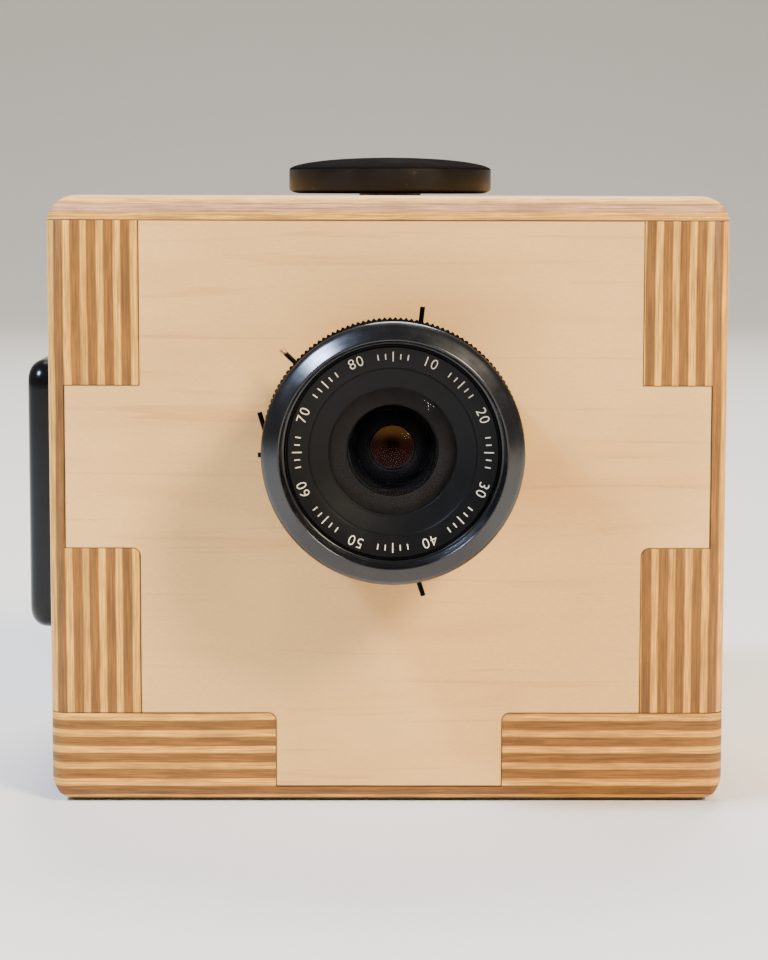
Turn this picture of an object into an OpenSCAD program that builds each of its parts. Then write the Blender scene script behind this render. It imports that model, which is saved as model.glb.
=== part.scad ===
// Small box camera for moving pictures. A case of birch plywood boards is glued up with finger
// joints and closed by a thin lid. A wide lens with a focus ring and an aperture ring screws into
// the front, a control dial stands on the lid and a battery pack sits in one side.
// The origin is at the mouth of the tripod socket. The lens looks along -Y and +Z is up.
// Along the lens, u is the distance behind the front lip.

/* [Case] */
// Lens axis to the outer face of the battery side
left_w = 56; // [54:1:62]
// Lens axis to the outer face of the port side
right_w = 54.8; // [53:0.2:61]
// Depth of the case, front to back
case_d = 84; // [82:1:96]
// Height of the case without its lid
case_h = 95.6; // [95:0.2:106]
// Thickness of the front, back, bottom and battery side boards
ply_t = 15; // [14:0.5:16]
// Thickness of the port side board
port_ply_t = 14; // [13:0.5:16]
// Thickness of the lid
lid_t = 4; // [3:0.5:6]
// Thin skin left outside each half-blind joint, two plies thick
lap_t = 2.73; // [1.4:0.1:4]
// Rounding of the outline as seen from the front
outline_r = 5; // [3:0.5:6]
// Rounding of the other outer edges
edge_r = 3; // [1:0.5:4]
// Rounding at the top corner of the lower fingers
finger_r = 1.3; // [0.5:0.1:3]
// Height where the front panel's side tab starts
tab_z0 = 42.3; // [34:0.1:46]
// Height where the front panel's side tab ends
tab_z1 = 68.9; // [64:0.1:74]
// Width of the front panel's bottom tab on the battery side of the lens axis
bottom_tab_left = 18.9; // [12:0.1:24]
// Width of the front panel's bottom tab on the port side of the lens axis
bottom_tab_right = 18.2; // [12:0.1:24]
// Half the width of the side panels' bottom tab
side_tab_half = 14; // [8:1:18]

/* [Lens] */
// Height of the lens axis
lens_z = 59.8; // [57:0.2:62]
// How far the front lip stands ahead of the case
lens_reach = 23.2; // [23:0.2:30]
// Radius of the filter thread inside the front lip
filter_r = 17.5; // [17:0.1:18]
// Depth of the filter thread
filter_len = 4.4; // [3.6:0.1:4.8]
// Outer radius of the front bezel
bezel_r = 20.5; // [19.5:0.1:22]
// Length of the front bezel
bezel_len = 7.6; // [7.4:0.1:7.8]
// How far the bezel's rim slopes back
bezel_slope = 2; // [1:0.1:3]
// Radius over the focus ring's knurl
focus_r = 20.7; // [19.5:0.1:22]
// Length of the focus ring
focus_len = 6; // [5.6:0.1:6.2]
// Ridges around the focus ring
focus_ridges = 150; // [90:10:180]
// Radius over the aperture ring's knurl
aperture_r = 19.7; // [19.3:0.1:20.5]
// Length of the aperture ring
aperture_len = 6; // [5.4:0.1:6.2]
// Ridges around the aperture ring
aperture_ridges = 60; // [40:5:90]
// Depth of the knurl on both rings
knurl_t = 0.4; // [0.2:0.05:0.6]
// Radius of the barrel under the rings
barrel_r = 17; // [16.6:0.1:17.4]
// Radius of the sliding inner tube
tube_r = 13.55; // [13.3:0.05:14]
// Forward travel of the optics from far to near focus
focus_travel = 1.2; // [0.8:0.1:1.4]
// How much smaller in radius the front glass is than the inner tube
glass_inset = 2.75; // [2.55:0.1:3.15]
// Radius of the lock pins in the rings
lock_pin_r = 0.4; // [0.3:0.05:0.5]

/* [Iris] */
// Radius of the open iris
iris_r = 4.6; // [4:0.1:4.7]
// How far the blade pivots stand inside the edge of the turning ring
pivot_inset = 1.9; // [1.8:0.05:2]
// Thickness of one blade
blade_t = 0.2; // [0.1:0.05:0.25]
// Turn of the aperture ring from open to closed, in degrees
aperture_turn = 60; // [40:5:60]
// Turn of a blade for the whole turn of the ring, in degrees
blade_turn = 20; // [12:1:20]

/* [Dial] */
// Radius of the control dial
dial_r = 17.8; // [14:0.2:22]
// Height of the dial's upright side
dial_side_h = 3.3; // [2.5:0.1:8]
// Height of the dome over the side
dial_dome_h = 2.2; // [1:0.1:3]
// Gap between the dial and the lid
dial_gap = 0.4; // [0.3:0.1:1]

/* [Battery] */
// Length of the battery pack, front to back
battery_l = 48; // [40:1:50]
// Height of the battery pack
battery_h = 46; // [40:1:50]
// Thickness of the battery pack
battery_t = 16; // [14:0.5:20]
// How far the pack stands out of the case
battery_out = 5.6; // [4:0.2:8]
// Rounding of the pack's edges
battery_edge_r = 2.8; // [1:0.2:3.6]

/* [Screen and controls] */
// Width of the screen
screen_w = 66; // [56:1:70]
// Height of the band under the screen for the grille and the buttons
control_band_h = 31.6; // [31.6:0.4:38]
// Radius of the record button
record_r = 6; // [4:0.5:6]
// Radius of the menu button
menu_r = 3.5; // [2.5:0.5:4]
// How far the buttons stand out of the back
button_out = 1.8; // [1.3:0.1:3]
// Travel of the buttons
button_travel = 1.2; // [0.6:0.1:1.2]
// Travel of the power switch
switch_travel = 3; // [2:0.5:4]

/* [Ports] */
// Width of the port recess, front to back
port_w = 50; // [48:1:50]
// Height of the port recess
port_h = 34; // [32:1:38]
// Depth of the port recess in front of its plate
port_depth = 6; // [5:0.5:7]

/* [Hidden] */
$fn = 96;

// Clearances: a turning or sliding fit, a piece seated in its own hole, and a free gap
run_gap = 0.05;
seat_gap = 0.05;
free_gap = 0.3;
ring_gap = 0.6;
// Sizes fixed by the lens mount's standard
c_thread_r = 12.7;
c_thread_len = 4;
flange_to_sensor = 17.526;
// Tap bore and length of the quarter-inch tripod thread
tripod_r = 2.6;
tripod_len = 10;
tripod_insert_r = 5;
// Bore of the audio socket for a 3.5 mm plug
audio_r = 1.8;
audio_len = 12;

// Faces of the case
y_front = -case_d / 2;
y_back = case_d / 2;
y_front_in = y_front + ply_t;
y_back_in = y_back - ply_t;
x_left_in = -left_w + ply_t;
x_right_in = right_w - port_ply_t;
case_top = case_h + lid_t;

// Places along the lens
lip_y = y_front - lens_reach;
web_u = filter_len + 1;
focus_u = bezel_len + ring_gap;
aperture_u = focus_u + focus_len + ring_gap;
shoulder_u = aperture_u + aperture_len + ring_gap;
face_gap = 0.5;
collar_drop = 0.15;
collar_len = 0.7;
shoulder_r = 19.4;
lens_hole_r = 19;
barrel_rear_r = 17.5;
flange_u = lens_reach + ply_t;
barrel_u = focus_u - 0.2;
barrel_bore_end = flange_u - 3;
rear_bore_r = 10.6;
tube_wall = 2.55;
tube_bore_r = tube_r - tube_wall;
tube_front_u = web_u + 1.2;
tube_end_u = flange_u - 4.5;
key_r = 0.75;
key_u = lens_reach + 2;
key_len = 3.2;

// The front glass bulges forward and is hollow behind
glass_r = tube_r - glass_inset;
glass_front_ball = 22;
glass_back_ball = 8.6;
glass_hollow_r = glass_r - 4;
glass_apex_u = filter_len + 0.1;
glass_back_u = tube_front_u + 3;
ring_inner_r = glass_r - 0.8;
letter_inner_r = tube_r - 0.45;

// The iris: a turning drive ring in front, two layers of three blades, and a fixed base
iris_u = aperture_u + 0.5;
drive_disc_t = 0.7;
drive_skirt_len = 3.7;
drive_r = tube_bore_r - 0.1;
skirt_r = drive_r - 0.6;
layer_gap = 0.06;
front_layer_u = iris_u + drive_disc_t + layer_gap;
rear_layer_u = front_layer_u + blade_t + layer_gap;
base_u = rear_layer_u + blade_t + layer_gap;
base_t = 0.8;
base_rim_u = iris_u + drive_skirt_len + 0.2;
base_rim_t = 1;
pivot_ring_r = drive_r - pivot_inset;
blade_in_r = iris_r + 0.2;
blade_out_r = pivot_ring_r - 0.8;
blade_arc = 82;
blade_lead = 4;
drive_pin_angle = 24;
drive_pin_r = 0.3;
pivot_pin_r = 0.35;
ear_r = 0.85;
slot_half = 0.45;
slot_steps = 8;
link_u = aperture_u + 2.4;
link_r = 0.5;
link_hold = 2;
link_angle = 210;
window_side = 4;

// The two rear glasses sit in a cell behind the iris
cell_u = base_rim_u + base_rim_t + 0.1;
cell_len = 12;
rear_glass_r = tube_bore_r - 3;
rear_glass_ball = 24;
rear_glass_edge = 1.2;
rear_glass_u = [cell_u + 1.7, cell_u + 6.9];

// Lock pins as seen from the front: angle from the right where a pin leaves its ring, lean from
// straight out, and length outside the ring
focus_pins = [[77.6, 6, 2.2], [169.9, -63, 2.2], [182.8, 0, 0.6], [280.9, 7, 3.3]];
aperture_pins = [[139.8, -3, 3.8]];
lock_pin_hold = 2.2;

// Lens mount, sensor and boards
plate_half = 26;
plate_t = 3;
plate_screw_at = 22;
mount_ring_r = 15;
mount_ring_flange_r = 17.5;
mount_ring_back = 1.5;
sensor_y = y_front_in + flange_to_sensor;
sensor_board_y = sensor_y + 1.47;
board_t = 1.6;
sensor_board_half = 20;
sensor_post_at = 16.6;
chamber_half = 14;
chamber_bore_r = 10.4;
filter_glass_r = 11.5;
filter_glass_t = 1;
sensor_w = 24;
sensor_h = 20;
sensor_lid_t = 0.5;
sensor_well_w = 16;
sensor_well_h = 12;
post_r = 2.4;
post_bore_r = 1.05;
screw_shank_r = 1;
screw_head_r = 2.25;
screw_head_t = 1.5;
screw_depth = 4;
// Length and head radius of the wood screws
lid_screw = [20, 2.9];
plate_screw = [12, 2.6];
port_screw = [6, 1.6];
grille_screw = [7, 1.6];
fan_screw = [12, 1.9];
// Where the port plate's screws stand in from its edges
port_screw_in = [2.9, 2.3];

main_y = y_back_in - 17;
main_x0 = x_left_in + 4;
main_x1 = x_right_in - 9;
main_z0 = ply_t + 3;
main_z1 = case_h - 16;
main_post_in = 3.5;
fan_in = 24.5;
fan_x = x_left_in + fan_in;
fan_z = ply_t + control_band_h / 2 + 0.2;
fan_half = 12.5;
fan_t = 7;
fan_bore_r = 11.3;
fan_blade_r = 10.9;
fan_hub_r = 6;
fan_base_t = 1.5;
fan_blades = 7;
fan_hole_at = 10.3;
vent_r = 11.5;
grille_half = 14;
grille_t = 1.2;
grille_screw_at = 12.2;
grille_slots = 7;
chip_t = 1.2;
chip_half = 7;
memory_x = [2, 15];
memory_w = 9;
memory_h = 12;
plug_t = 2.4;
plug_h = 4.4;
plug_drop = 9.6;
sensor_plug_half = 9;
screen_plug_half = 7;
screen_plug_drop = 4;
lead_plug_in = 0.5;
lead_plug_w = 4;
lead_plug_t = 5;
lead_plug_half = 5;
sink_half = 12;
sink_t = 6;
sink_fins = 7;
cable_t = 0.3;

// Screen, buttons and switch in the back
screen_edge = 5;
screen_h = case_h - screen_edge - ply_t - control_band_h;
screen_z = case_h - screen_edge - screen_h / 2;
screen_t = 5;
glass_t = 2.2;
screen_pocket = screen_t + glass_t + 0.8;
cable_window_w = 40;
cable_window_h = 24;
control_z = ply_t + 19;
cap_h = 6;
tact_half = 3;
tact_t = 3.5;
tact_plunger_t = 0.5;
tact_hole_r = 4.4;
stem_r = 1.7;
button_board_t = 1.6;
button_board_half = 7;
button_edge = 0.6;
lever_r = 1;
lever_slot_half = 1.3;
lever_slot_depth = 1.5;
switch_knob_w = 5;
switch_knob_h = 3.6;
switch_slot_h = 5.2;
switch_body_t = 9;
// The controls stand at even gaps between the grille and the port side board
switch_slot_half = (switch_knob_w + switch_travel) / 2 + free_gap;
control_gap = (x_right_in - fan_x - grille_half - 2 * (record_r + menu_r + switch_slot_half)) / 4;
record_x = fan_x + grille_half + control_gap + record_r;
menu_x = record_x + record_r + control_gap + menu_r;
switch_x = menu_x + menu_r + control_gap + switch_slot_half;

// Ports
port_z = ply_t + 21;
port_plate_t = 2;
port_ledge = 4;
plate_x = right_w - port_depth;
io_x = x_right_in - 8;
io_post_r = 1.8;
io_post_y = port_w / 2 - port_ledge - io_post_r - free_gap;
io_post_z = port_h / 2 - port_ledge - io_post_r - free_gap;
upper_row_z = port_z + 8;
lower_row_z = port_z - 8;
front_col_y = -9;
back_col_y = 10.5;
video_half_w = 7.2;
video_half_h = 2.8;
video_cut = 1.6;
video_wall = 0.5;
video_floor_t = 6;
video_tongue_half = 5.5;
video_tongue_t = 1.2;
video_out = 0.6;
audio_nose_r = 2.9;
audio_block_half = 4;
audio_out = 1;
power_nose_r = 4.2;
power_block_half = 4.5;
power_out = 0.8;
power_bore_r = 2.75;
power_bore_len = 8;
power_pin_r = 1;
card_shell_half_w = 6.75;
card_shell_half_h = 1.5;
card_gap = 0.1;
card_step = 1.3;
card_step_at = [6.4, 7.6];
card_w = 11;
card_l = 15;
card_t = 1;
card_out = 1.2;

// Battery and its contacts
battery_y = 0;
battery_z = ply_t + 33.8;
battery_x = -left_w - battery_out;
bay_x = battery_x + battery_t + free_gap;
contact_half = 6;
contact_pin_r = 0.8;
contact_pitch = 3;
lead_r = 0.7;

// Dial and encoder
dial_y = 0;
dial_z = case_top + dial_gap;
dial_base_h = 0.8;
dial_base_in = 2.2;
dial_base_r = dial_r - dial_base_in;
dial_roof = 1.4;
shaft_fit = 0.03;
shaft_foot = 1.2;
dial_recess_r = 7;
dial_recess_h = 3.7;
encoder_half = 6;
encoder_h = 6.5;
bushing_r = 3.5;
bushing_top = case_top + 3.4;
shaft_r = 3;
nut_r = 5.4;
nut_t = 2;

// Flat shapes and ways to stand them up

module box(lo, hi) translate(lo) cube(hi - lo);

module rounded_rect(lo, hi, r) {
    translate([lo[0] + r, lo[1]]) square([hi[0] - lo[0] - 2 * r, hi[1] - lo[1]]);
    translate([lo[0], lo[1] + r]) square([hi[0] - lo[0], hi[1] - lo[1] - 2 * r]);
    for (x = [lo[0] + r, hi[0] - r], y = [lo[1] + r, hi[1] - r]) translate([x, y]) circle(r);
}

// A shape drawn in x and z, run along y
module along_y(y0, y1) translate([0, y1, 0]) rotate([90, 0, 0]) linear_extrude(y1 - y0) children();

// A shape drawn in y and z, run along x
module along_x(x0, x1) translate([x0, 0, 0]) rotate([90, 0, 90]) linear_extrude(x1 - x0) children();

module rod_x(x0, x1, y, z, r) translate([x0, y, z]) rotate([0, 90, 0]) cylinder(r = r, h = x1 - x0);

module rod_y(x, y0, y1, z, r) translate([x, y1, z]) rotate([90, 0, 0]) cylinder(r = r, h = y1 - y0);

module soft_box(lo, hi, r) intersection() {
    along_y(lo[1], hi[1]) rounded_rect([lo[0], lo[2]], [hi[0], hi[2]], r);
    along_x(lo[0], hi[0]) rounded_rect([lo[1], lo[2]], [hi[1], hi[2]], r);
    translate([0, 0, lo[2]]) linear_extrude(hi[2] - lo[2])
        rounded_rect([lo[0], lo[1]], [hi[0], hi[1]], r);
}

// Case boards, cut from one rounded block

module envelope() intersection() {
    along_y(y_front, y_back) rounded_rect([-left_w, 0], [right_w, case_top], outline_r);
    along_x(-left_w, right_w) rounded_rect([y_front, 0], [y_back, case_top], edge_r);
    linear_extrude(case_top) rounded_rect([-left_w, y_front], [right_w, y_back], edge_r);
}

// A finger between an outer and an inner x, with its top inner corner rounded
module finger(x_out, x_in, z0, z1, r) {
    s = sign(x_in - x_out);
    translate([min(x_out, x_in), z0]) square([abs(x_in - x_out), z1 - z0 - r]);
    translate([min(x_out, x_in - s * r), z0]) square([abs(x_in - x_out) - r, z1 - z0]);
    translate([x_in - s * r, z1 - r]) circle(r);
}

// Outline of the front and back panels between the fingers of their neighbours
module end_outline() difference() {
    translate([-left_w + lap_t, lap_t]) square([left_w + right_w - 2 * lap_t, case_h - lap_t]);
    for (side = [[-left_w, x_left_in], [right_w, x_right_in]]) {
        finger(side[0], side[1], ply_t, tab_z0, finger_r);
        translate([min(side), tab_z1]) square([abs(side[0] - side[1]), case_h - tab_z1 + 1]);
        translate([min(side), 0]) square([abs(side[0] - side[1]), ply_t]);
    }
    finger(-left_w, -bottom_tab_left, 0, ply_t, finger_r);
    finger(right_w, bottom_tab_right, 0, ply_t, finger_r);
}

module end_boards() {
    along_y(y_front, y_front_in) end_outline();
    along_y(y_back_in, y_back) end_outline();
}

module side_tabs() {
    box([-left_w, -side_tab_half, lap_t], [x_left_in, side_tab_half, ply_t]);
    box([x_right_in, -side_tab_half, lap_t], [right_w, side_tab_half, ply_t]);
}

module side_board(x0, x1) difference() {
    intersection() {
        envelope();
        union() {
            box([x0, y_front, ply_t], [x1, y_back, case_h]);
            box([x0, -side_tab_half, lap_t], [x1, side_tab_half, ply_t]);
        }
    }
    end_boards();
    wood_screw_set(seat_gap);
}

module front_panel() color("#e2c7a0") difference() {
    intersection() {
        envelope();
        along_y(y_front, y_front_in) end_outline();
    }
    at_lens() translate([0, 0, -flange_u - 1]) cylinder(r = lens_hole_r, h = ply_t + 2);
    wood_screw_set(seat_gap);
}

module back_panel() color("#e2c7a0") difference() {
    intersection() {
        envelope();
        along_y(y_back_in, y_back) end_outline();
    }
    box([-screen_w / 2 - seat_gap, y_back - screen_pocket, screen_z - screen_h / 2 - seat_gap],
        [screen_w / 2 + seat_gap, y_back + 1, screen_z + screen_h / 2 + seat_gap]);
    box([-cable_window_w / 2, y_back_in - 1, screen_z - cable_window_h / 2],
        [cable_window_w / 2, y_back, screen_z + cable_window_h / 2]);
    rod_y(fan_x, y_back_in - 1, y_back, fan_z, vent_r);
    box([fan_x - grille_half - seat_gap, y_back - grille_t, fan_z - grille_half - seat_gap],
        [fan_x + grille_half + seat_gap, y_back + 1, fan_z + grille_half + seat_gap]);
    for (b = [[record_x, record_r], [menu_x, menu_r]]) {
        rod_y(b[0], y_back - cap_h - button_travel - free_gap, y_back + 1, control_z,
            b[1] + free_gap / 2);
        rod_y(b[0], y_back_in - 1, y_back, control_z, stem_r + free_gap);
        rod_y(b[0], y_back_in - 1, y_back_in + tact_t + tact_plunger_t + free_gap, control_z,
            tact_hole_r);
    }
    box([switch_x - switch_slot_half, y_back_in - 1, control_z - switch_slot_h / 2],
        [switch_x + switch_slot_half, y_back + 1, control_z + switch_slot_h / 2]);
    wood_screw_set(seat_gap);
}

module battery_side_panel() color("#e2c7a0") difference() {
    side_board(-left_w, x_left_in);
    box([-left_w - 1, battery_y - battery_l / 2 - free_gap, battery_z - battery_h / 2 - free_gap],
        [bay_x, battery_y + battery_l / 2 + free_gap, battery_z + battery_h / 2 + free_gap]);
    box([bay_x - 1, battery_y - contact_half - seat_gap, battery_z - contact_half - seat_gap],
        [x_left_in + 1, battery_y + contact_half + seat_gap, battery_z + contact_half + seat_gap]);
}

module port_side_panel() color("#e2c7a0") difference() {
    side_board(x_right_in, right_w);
    box([plate_x - port_plate_t, -port_w / 2, port_z - port_h / 2],
        [right_w + 1, port_w / 2, port_z + port_h / 2]);
    box([x_right_in - 1, -port_w / 2 + port_ledge, port_z - port_h / 2 + port_ledge],
        [right_w, port_w / 2 - port_ledge, port_z + port_h / 2 - port_ledge]);
}

module bottom_panel() color("#e2c7a0") difference() {
    intersection() {
        envelope();
        box([-left_w, y_front, 0], [right_w, y_back, ply_t]);
    }
    end_boards();
    side_tabs();
    translate([0, 0, -1]) cylinder(r = tripod_insert_r + seat_gap, h = tripod_len + 1);
}

module lid_panel() color("#e2c7a0") difference() {
    intersection() {
        envelope();
        box([-left_w, y_front, case_h], [right_w, y_back, case_top]);
    }
    translate([0, dial_y, case_h - 1]) cylinder(r = bushing_r + seat_gap, h = lid_t + 2);
    wood_screw_set(seat_gap);
}

module tripod_insert() color("#b08d45") difference() {
    cylinder(r = tripod_insert_r, h = tripod_len);
    translate([0, 0, -1]) cylinder(r = tripod_r, h = tripod_len + 2);
}

// Countersunk wood screws. The point is down and the flat head's top is at z = 0.
module wood_screw(size, grow) {
    len = size[0];
    head_r = size[1];
    head_t = head_r - screw_shank_r;
    translate([0, 0, -len]) cylinder(r = screw_shank_r + grow, h = len - head_t + 0.01);
    translate([0, 0, -head_t - grow]) cylinder(r1 = screw_shank_r, r2 = head_r + grow, h = head_t + grow);
    if (grow > 0) cylinder(r = head_r + grow, h = 1);
}

module wood_screw_set(grow = 0) {
    for (x = [-left_w + ply_t / 2, right_w - port_ply_t / 2], s = [-1, 1])
        translate([x, s * (y_back - ply_t / 2), case_top]) wood_screw(lid_screw, grow);
    for (x = [-1, 1], z = [-1, 1])
        translate([x * plate_screw_at, y_front_in + plate_t, lens_z + z * plate_screw_at])
            rotate([-90, 0, 0]) wood_screw(plate_screw, grow);
    for (y = [-1, 1], z = [-1, 1])
        translate([plate_x, y * (port_w / 2 - port_screw_in[0]),
            port_z + z * (port_h / 2 - port_screw_in[1])])
            rotate([0, 90, 0]) wood_screw(port_screw, grow);
    for (x = [-1, 1], z = [-1, 1])
        translate([fan_x + x * grille_screw_at, y_back, fan_z + z * grille_screw_at])
            rotate([-90, 0, 0]) wood_screw(grille_screw, grow);
    for (s = [-1, 1])
        translate([fan_x + s * fan_hole_at, y_back_in - fan_t, fan_z + s * fan_hole_at])
            rotate([90, 0, 0]) wood_screw(fan_screw, grow);
}

module wood_screws() color("#8d8f92") wood_screw_set();

// Lens mount

module at_lens() translate([0, lip_y, lens_z]) rotate([90, 0, 0]) children();

// A ring around the lens axis between two distances behind the lip
module lens_ring(u0, u1, r_out, r_in) translate([0, 0, -u1]) difference() {
    cylinder(r = r_out, h = u1 - u0);
    translate([0, 0, -1]) cylinder(r = r_in, h = u1 - u0 + 2);
}

module lens_plug(u0, u1, r) translate([0, 0, -u1]) cylinder(r = r, h = u1 - u0);

module lens_mount_plate() color("#b9bcc0") difference() {
    along_y(y_front_in, y_front_in + plate_t)
        rounded_rect([-plate_half, lens_z - plate_half], [plate_half, lens_z + plate_half], 3);
    rod_y(0, y_front_in - 1, y_front_in + plate_t + 1, lens_z, mount_ring_r + seat_gap);
    wood_screw_set(seat_gap);
}

module c_mount_ring() color("#c9a35a") at_lens() difference() {
    union() {
        lens_plug(flange_u, flange_u + plate_t + mount_ring_back, mount_ring_r);
        lens_plug(flange_u + plate_t, flange_u + plate_t + mount_ring_back, mount_ring_flange_r);
    }
    lens_plug(flange_u - 1, flange_u + plate_t + mount_ring_back + 1, c_thread_r + run_gap);
}

// Lens: fixed barrel and turning rings

module window(r_in, r_out, u0, u1) rotate([0, 0, link_angle - window_side])
    rotate_extrude(angle = aperture_turn + 2 * window_side)
        translate([r_in, -u1]) square([r_out - r_in, u1 - u0]);

module lens_barrel() color("#1b1b1d") at_lens() difference() {
    union() {
        lens_plug(barrel_u, shoulder_u, barrel_r);
        lens_plug(shoulder_u, lens_reach - face_gap, shoulder_r);
        lens_plug(lens_reach - face_gap, flange_u, barrel_rear_r);
        lens_plug(flange_u, flange_u + c_thread_len, c_thread_r);
    }
    lens_plug(barrel_u - 1, barrel_bore_end, tube_r + run_gap);
    lens_plug(barrel_bore_end - 1, flange_u + c_thread_len + 1, rear_bore_r);
    window(tube_r - 1, barrel_r + 1, link_u - link_r - free_gap, link_u + link_r + free_gap);
    translate([-key_r - run_gap, tube_r - 1, -key_u - key_r - run_gap])
        cube([2 * (key_r + run_gap), 6, focus_travel + 2 * (key_r + run_gap) + free_gap]);
}

module knurled(u0, u1, r, ridges) {
    step = 180 / ridges;
    translate([0, 0, -u1]) linear_extrude(u1 - u0)
        polygon([for (i = [0:2 * ridges - 1])
            (r - (i % 2) * knurl_t) * [cos(i * step), sin(i * step)]]);
}

// A turning ring: a knurled band that stands a little over a smooth collar at each end
module grip_ring(u, len, r, ridges) difference() {
    union() {
        lens_plug(u, u + len, r - knurl_t - collar_drop);
        knurled(u + collar_len, u + len - collar_len, r, ridges);
    }
    lens_plug(u - 1, u + len + 1, barrel_r + run_gap);
}

module lock_pins(places, u, r, grow = 0) for (p = places)
    rotate([0, 0, p[0]]) translate([r, 0, -u]) rotate([0, 0, p[1]]) rotate([0, 90, 0])
        translate([0, 0, -lock_pin_hold - grow])
            cylinder(r = lock_pin_r + grow, h = lock_pin_hold + p[2] + 2 * grow);

module focus_ring() color("#1b1b1d") at_lens() difference() {
    grip_ring(focus_u, focus_len, focus_r, focus_ridges);
    lock_pins(focus_pins, focus_u + focus_len / 2, focus_r, seat_gap);
}

module focus_ring_pins() color("#2a2b2e") at_lens()
    lock_pins(focus_pins, focus_u + focus_len / 2, focus_r);

module aperture_ring() color("#1b1b1d") at_lens() difference() {
    grip_ring(aperture_u, aperture_len, aperture_r, aperture_ridges);
    lock_pins(aperture_pins, aperture_u + aperture_len / 2, aperture_r, seat_gap);
    link_pin(seat_gap);
}

// The pin that reaches inward through the barrel and turns the iris
module link_pin(grow = 0) rotate([0, 0, link_angle]) translate([skirt_r, 0, -link_u])
    rotate([0, 90, 0]) cylinder(r = link_r + grow, h = barrel_r + link_hold - skirt_r + grow);

module aperture_ring_pins() color("#2a2b2e") at_lens() {
    lock_pins(aperture_pins, aperture_u + aperture_len / 2, aperture_r);
    link_pin();
}

// Lens: the optics that slide together when the focus ring turns

module inner_tube() color("#151516") at_lens() {
    difference() {
        lens_plug(tube_front_u, tube_end_u, tube_r);
        lens_plug(tube_front_u - 1, glass_back_u, glass_r + seat_gap);
        lens_plug(glass_back_u - 1, iris_u, rear_glass_r + 0.6);
        lens_plug(iris_u - 0.1, tube_end_u + 1, tube_bore_r);
        window(tube_bore_r - 1, tube_r + 1, link_u - link_r - free_gap,
            link_u + link_r + focus_travel + free_gap);
        translate([0, tube_r - 1, -key_u]) rotate([-90, 0, 0]) cylinder(r = key_r, h = 2);
    }
    translate([0, tube_r - 1.2, -key_u]) rotate([-90, 0, 0]) cylinder(r = key_r, h = key_len);
}

module front_bezel() color("#1b1b1d") at_lens() rotate_extrude() polygon(concat(
    [for (a = [0:10:90]) [bezel_r - (bezel_r - filter_r - 0.3) * (1 - sin(a)),
        -bezel_slope * (1 - cos(a))]],
    [[bezel_r, -bezel_len], [tube_r + seat_gap, -bezel_len], [tube_r + seat_gap, -web_u],
        [filter_r - 0.6, -web_u], [filter_r - 0.6, -filter_len], [filter_r, -filter_len],
        [filter_r, 0]]));

module scale_ring() color("#202124") at_lens() rotate_extrude() polygon([
    [filter_r - 0.65, -filter_len], [filter_r - 0.65, -web_u], [tube_r - seat_gap, -web_u],
    [tube_r - seat_gap, -tube_front_u + 0.05], [ring_inner_r, -tube_front_u + 0.2],
    [ring_inner_r, -filter_len - 1.6], [letter_inner_r, -filter_len - 0.5],
    [letter_inner_r, -filter_len]]);

module front_element() color("#3a4a66", 0.6) at_lens() difference() {
    intersection() {
        lens_plug(glass_apex_u, glass_back_u, glass_r);
        translate([0, 0, -glass_apex_u - glass_front_ball]) sphere(glass_front_ball);
    }
    translate([0, 0, -glass_back_u - sqrt(pow(glass_back_ball, 2) - pow(glass_hollow_r, 2))])
        sphere(glass_back_ball);
}

module rear_cell() color("#151516") at_lens() difference() {
    lens_plug(cell_u, cell_u + cell_len, tube_bore_r - seat_gap);
    lens_plug(cell_u - 1, rear_glass_u[0] + rear_glass_edge + free_gap, rear_glass_r + seat_gap);
    lens_plug(cell_u, cell_u + cell_len + 1, rear_glass_r - 0.8);
    lens_plug(rear_glass_u[1] - free_gap, cell_u + cell_len + 1, rear_glass_r + seat_gap);
}

module rear_glass(u) intersection() {
    bulge = rear_glass_ball - sqrt(pow(rear_glass_ball, 2) - pow(rear_glass_r, 2));
    lens_plug(u - bulge, u + rear_glass_edge + bulge, rear_glass_r);
    translate([0, 0, -u + bulge - rear_glass_ball]) sphere(rear_glass_ball);
    translate([0, 0, -u - rear_glass_edge - bulge + rear_glass_ball]) sphere(rear_glass_ball);
}

module rear_elements() color("#5a6a80", 0.6) at_lens() for (u = rear_glass_u) rear_glass(u);

// Iris. Points turn about the lens axis or about a blade's pivot at the right.

function turned(p, a) = [p[0] * cos(a) - p[1] * sin(a), p[0] * sin(a) + p[1] * cos(a)];
pivot = [pivot_ring_r, 0];
drive_pin = turned(pivot, drive_pin_angle);

// Where the drive pin runs in the turning ring while the blade swings in by share s
function slot_point(s) =
    turned(pivot + turned(drive_pin - pivot, s * blade_turn), -s * aperture_turn);

// Cam slot: both edges follow the drive pin's path, half a slot away
function slot_edge(s, side) =
    let (d = slot_point(s + 0.01) - slot_point(s - 0.01))
        slot_point(s) + side * slot_half * [-d[1], d[0]] / norm(d);

module cam_slot() {
    polygon(concat([for (i = [0:slot_steps]) slot_edge(i / slot_steps, 1)],
        [for (i = [slot_steps:-1:0]) slot_edge(i / slot_steps, -1)]));
    for (s = [0, 1]) translate(slot_point(s)) circle(slot_half, $fn = 24);
}

module iris_drive_ring() color("#6d6f73") at_lens() difference() {
    union() {
        lens_ring(iris_u, iris_u + drive_disc_t, drive_r, iris_r + 0.4);
        lens_ring(iris_u, iris_u + drive_skirt_len, drive_r, skirt_r);
    }
    for (k = [0:5]) rotate([0, 0, 60 * k]) translate([0, 0, -iris_u - drive_disc_t - 0.5])
        linear_extrude(drive_disc_t + 1) cam_slot();
    rotate([0, 0, link_angle]) translate([skirt_r - 1, -link_r - run_gap, -iris_u - 20])
        cube([3, 2 * (link_r + run_gap), 20 - (link_u - iris_u) + link_r + run_gap]);
}

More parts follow.
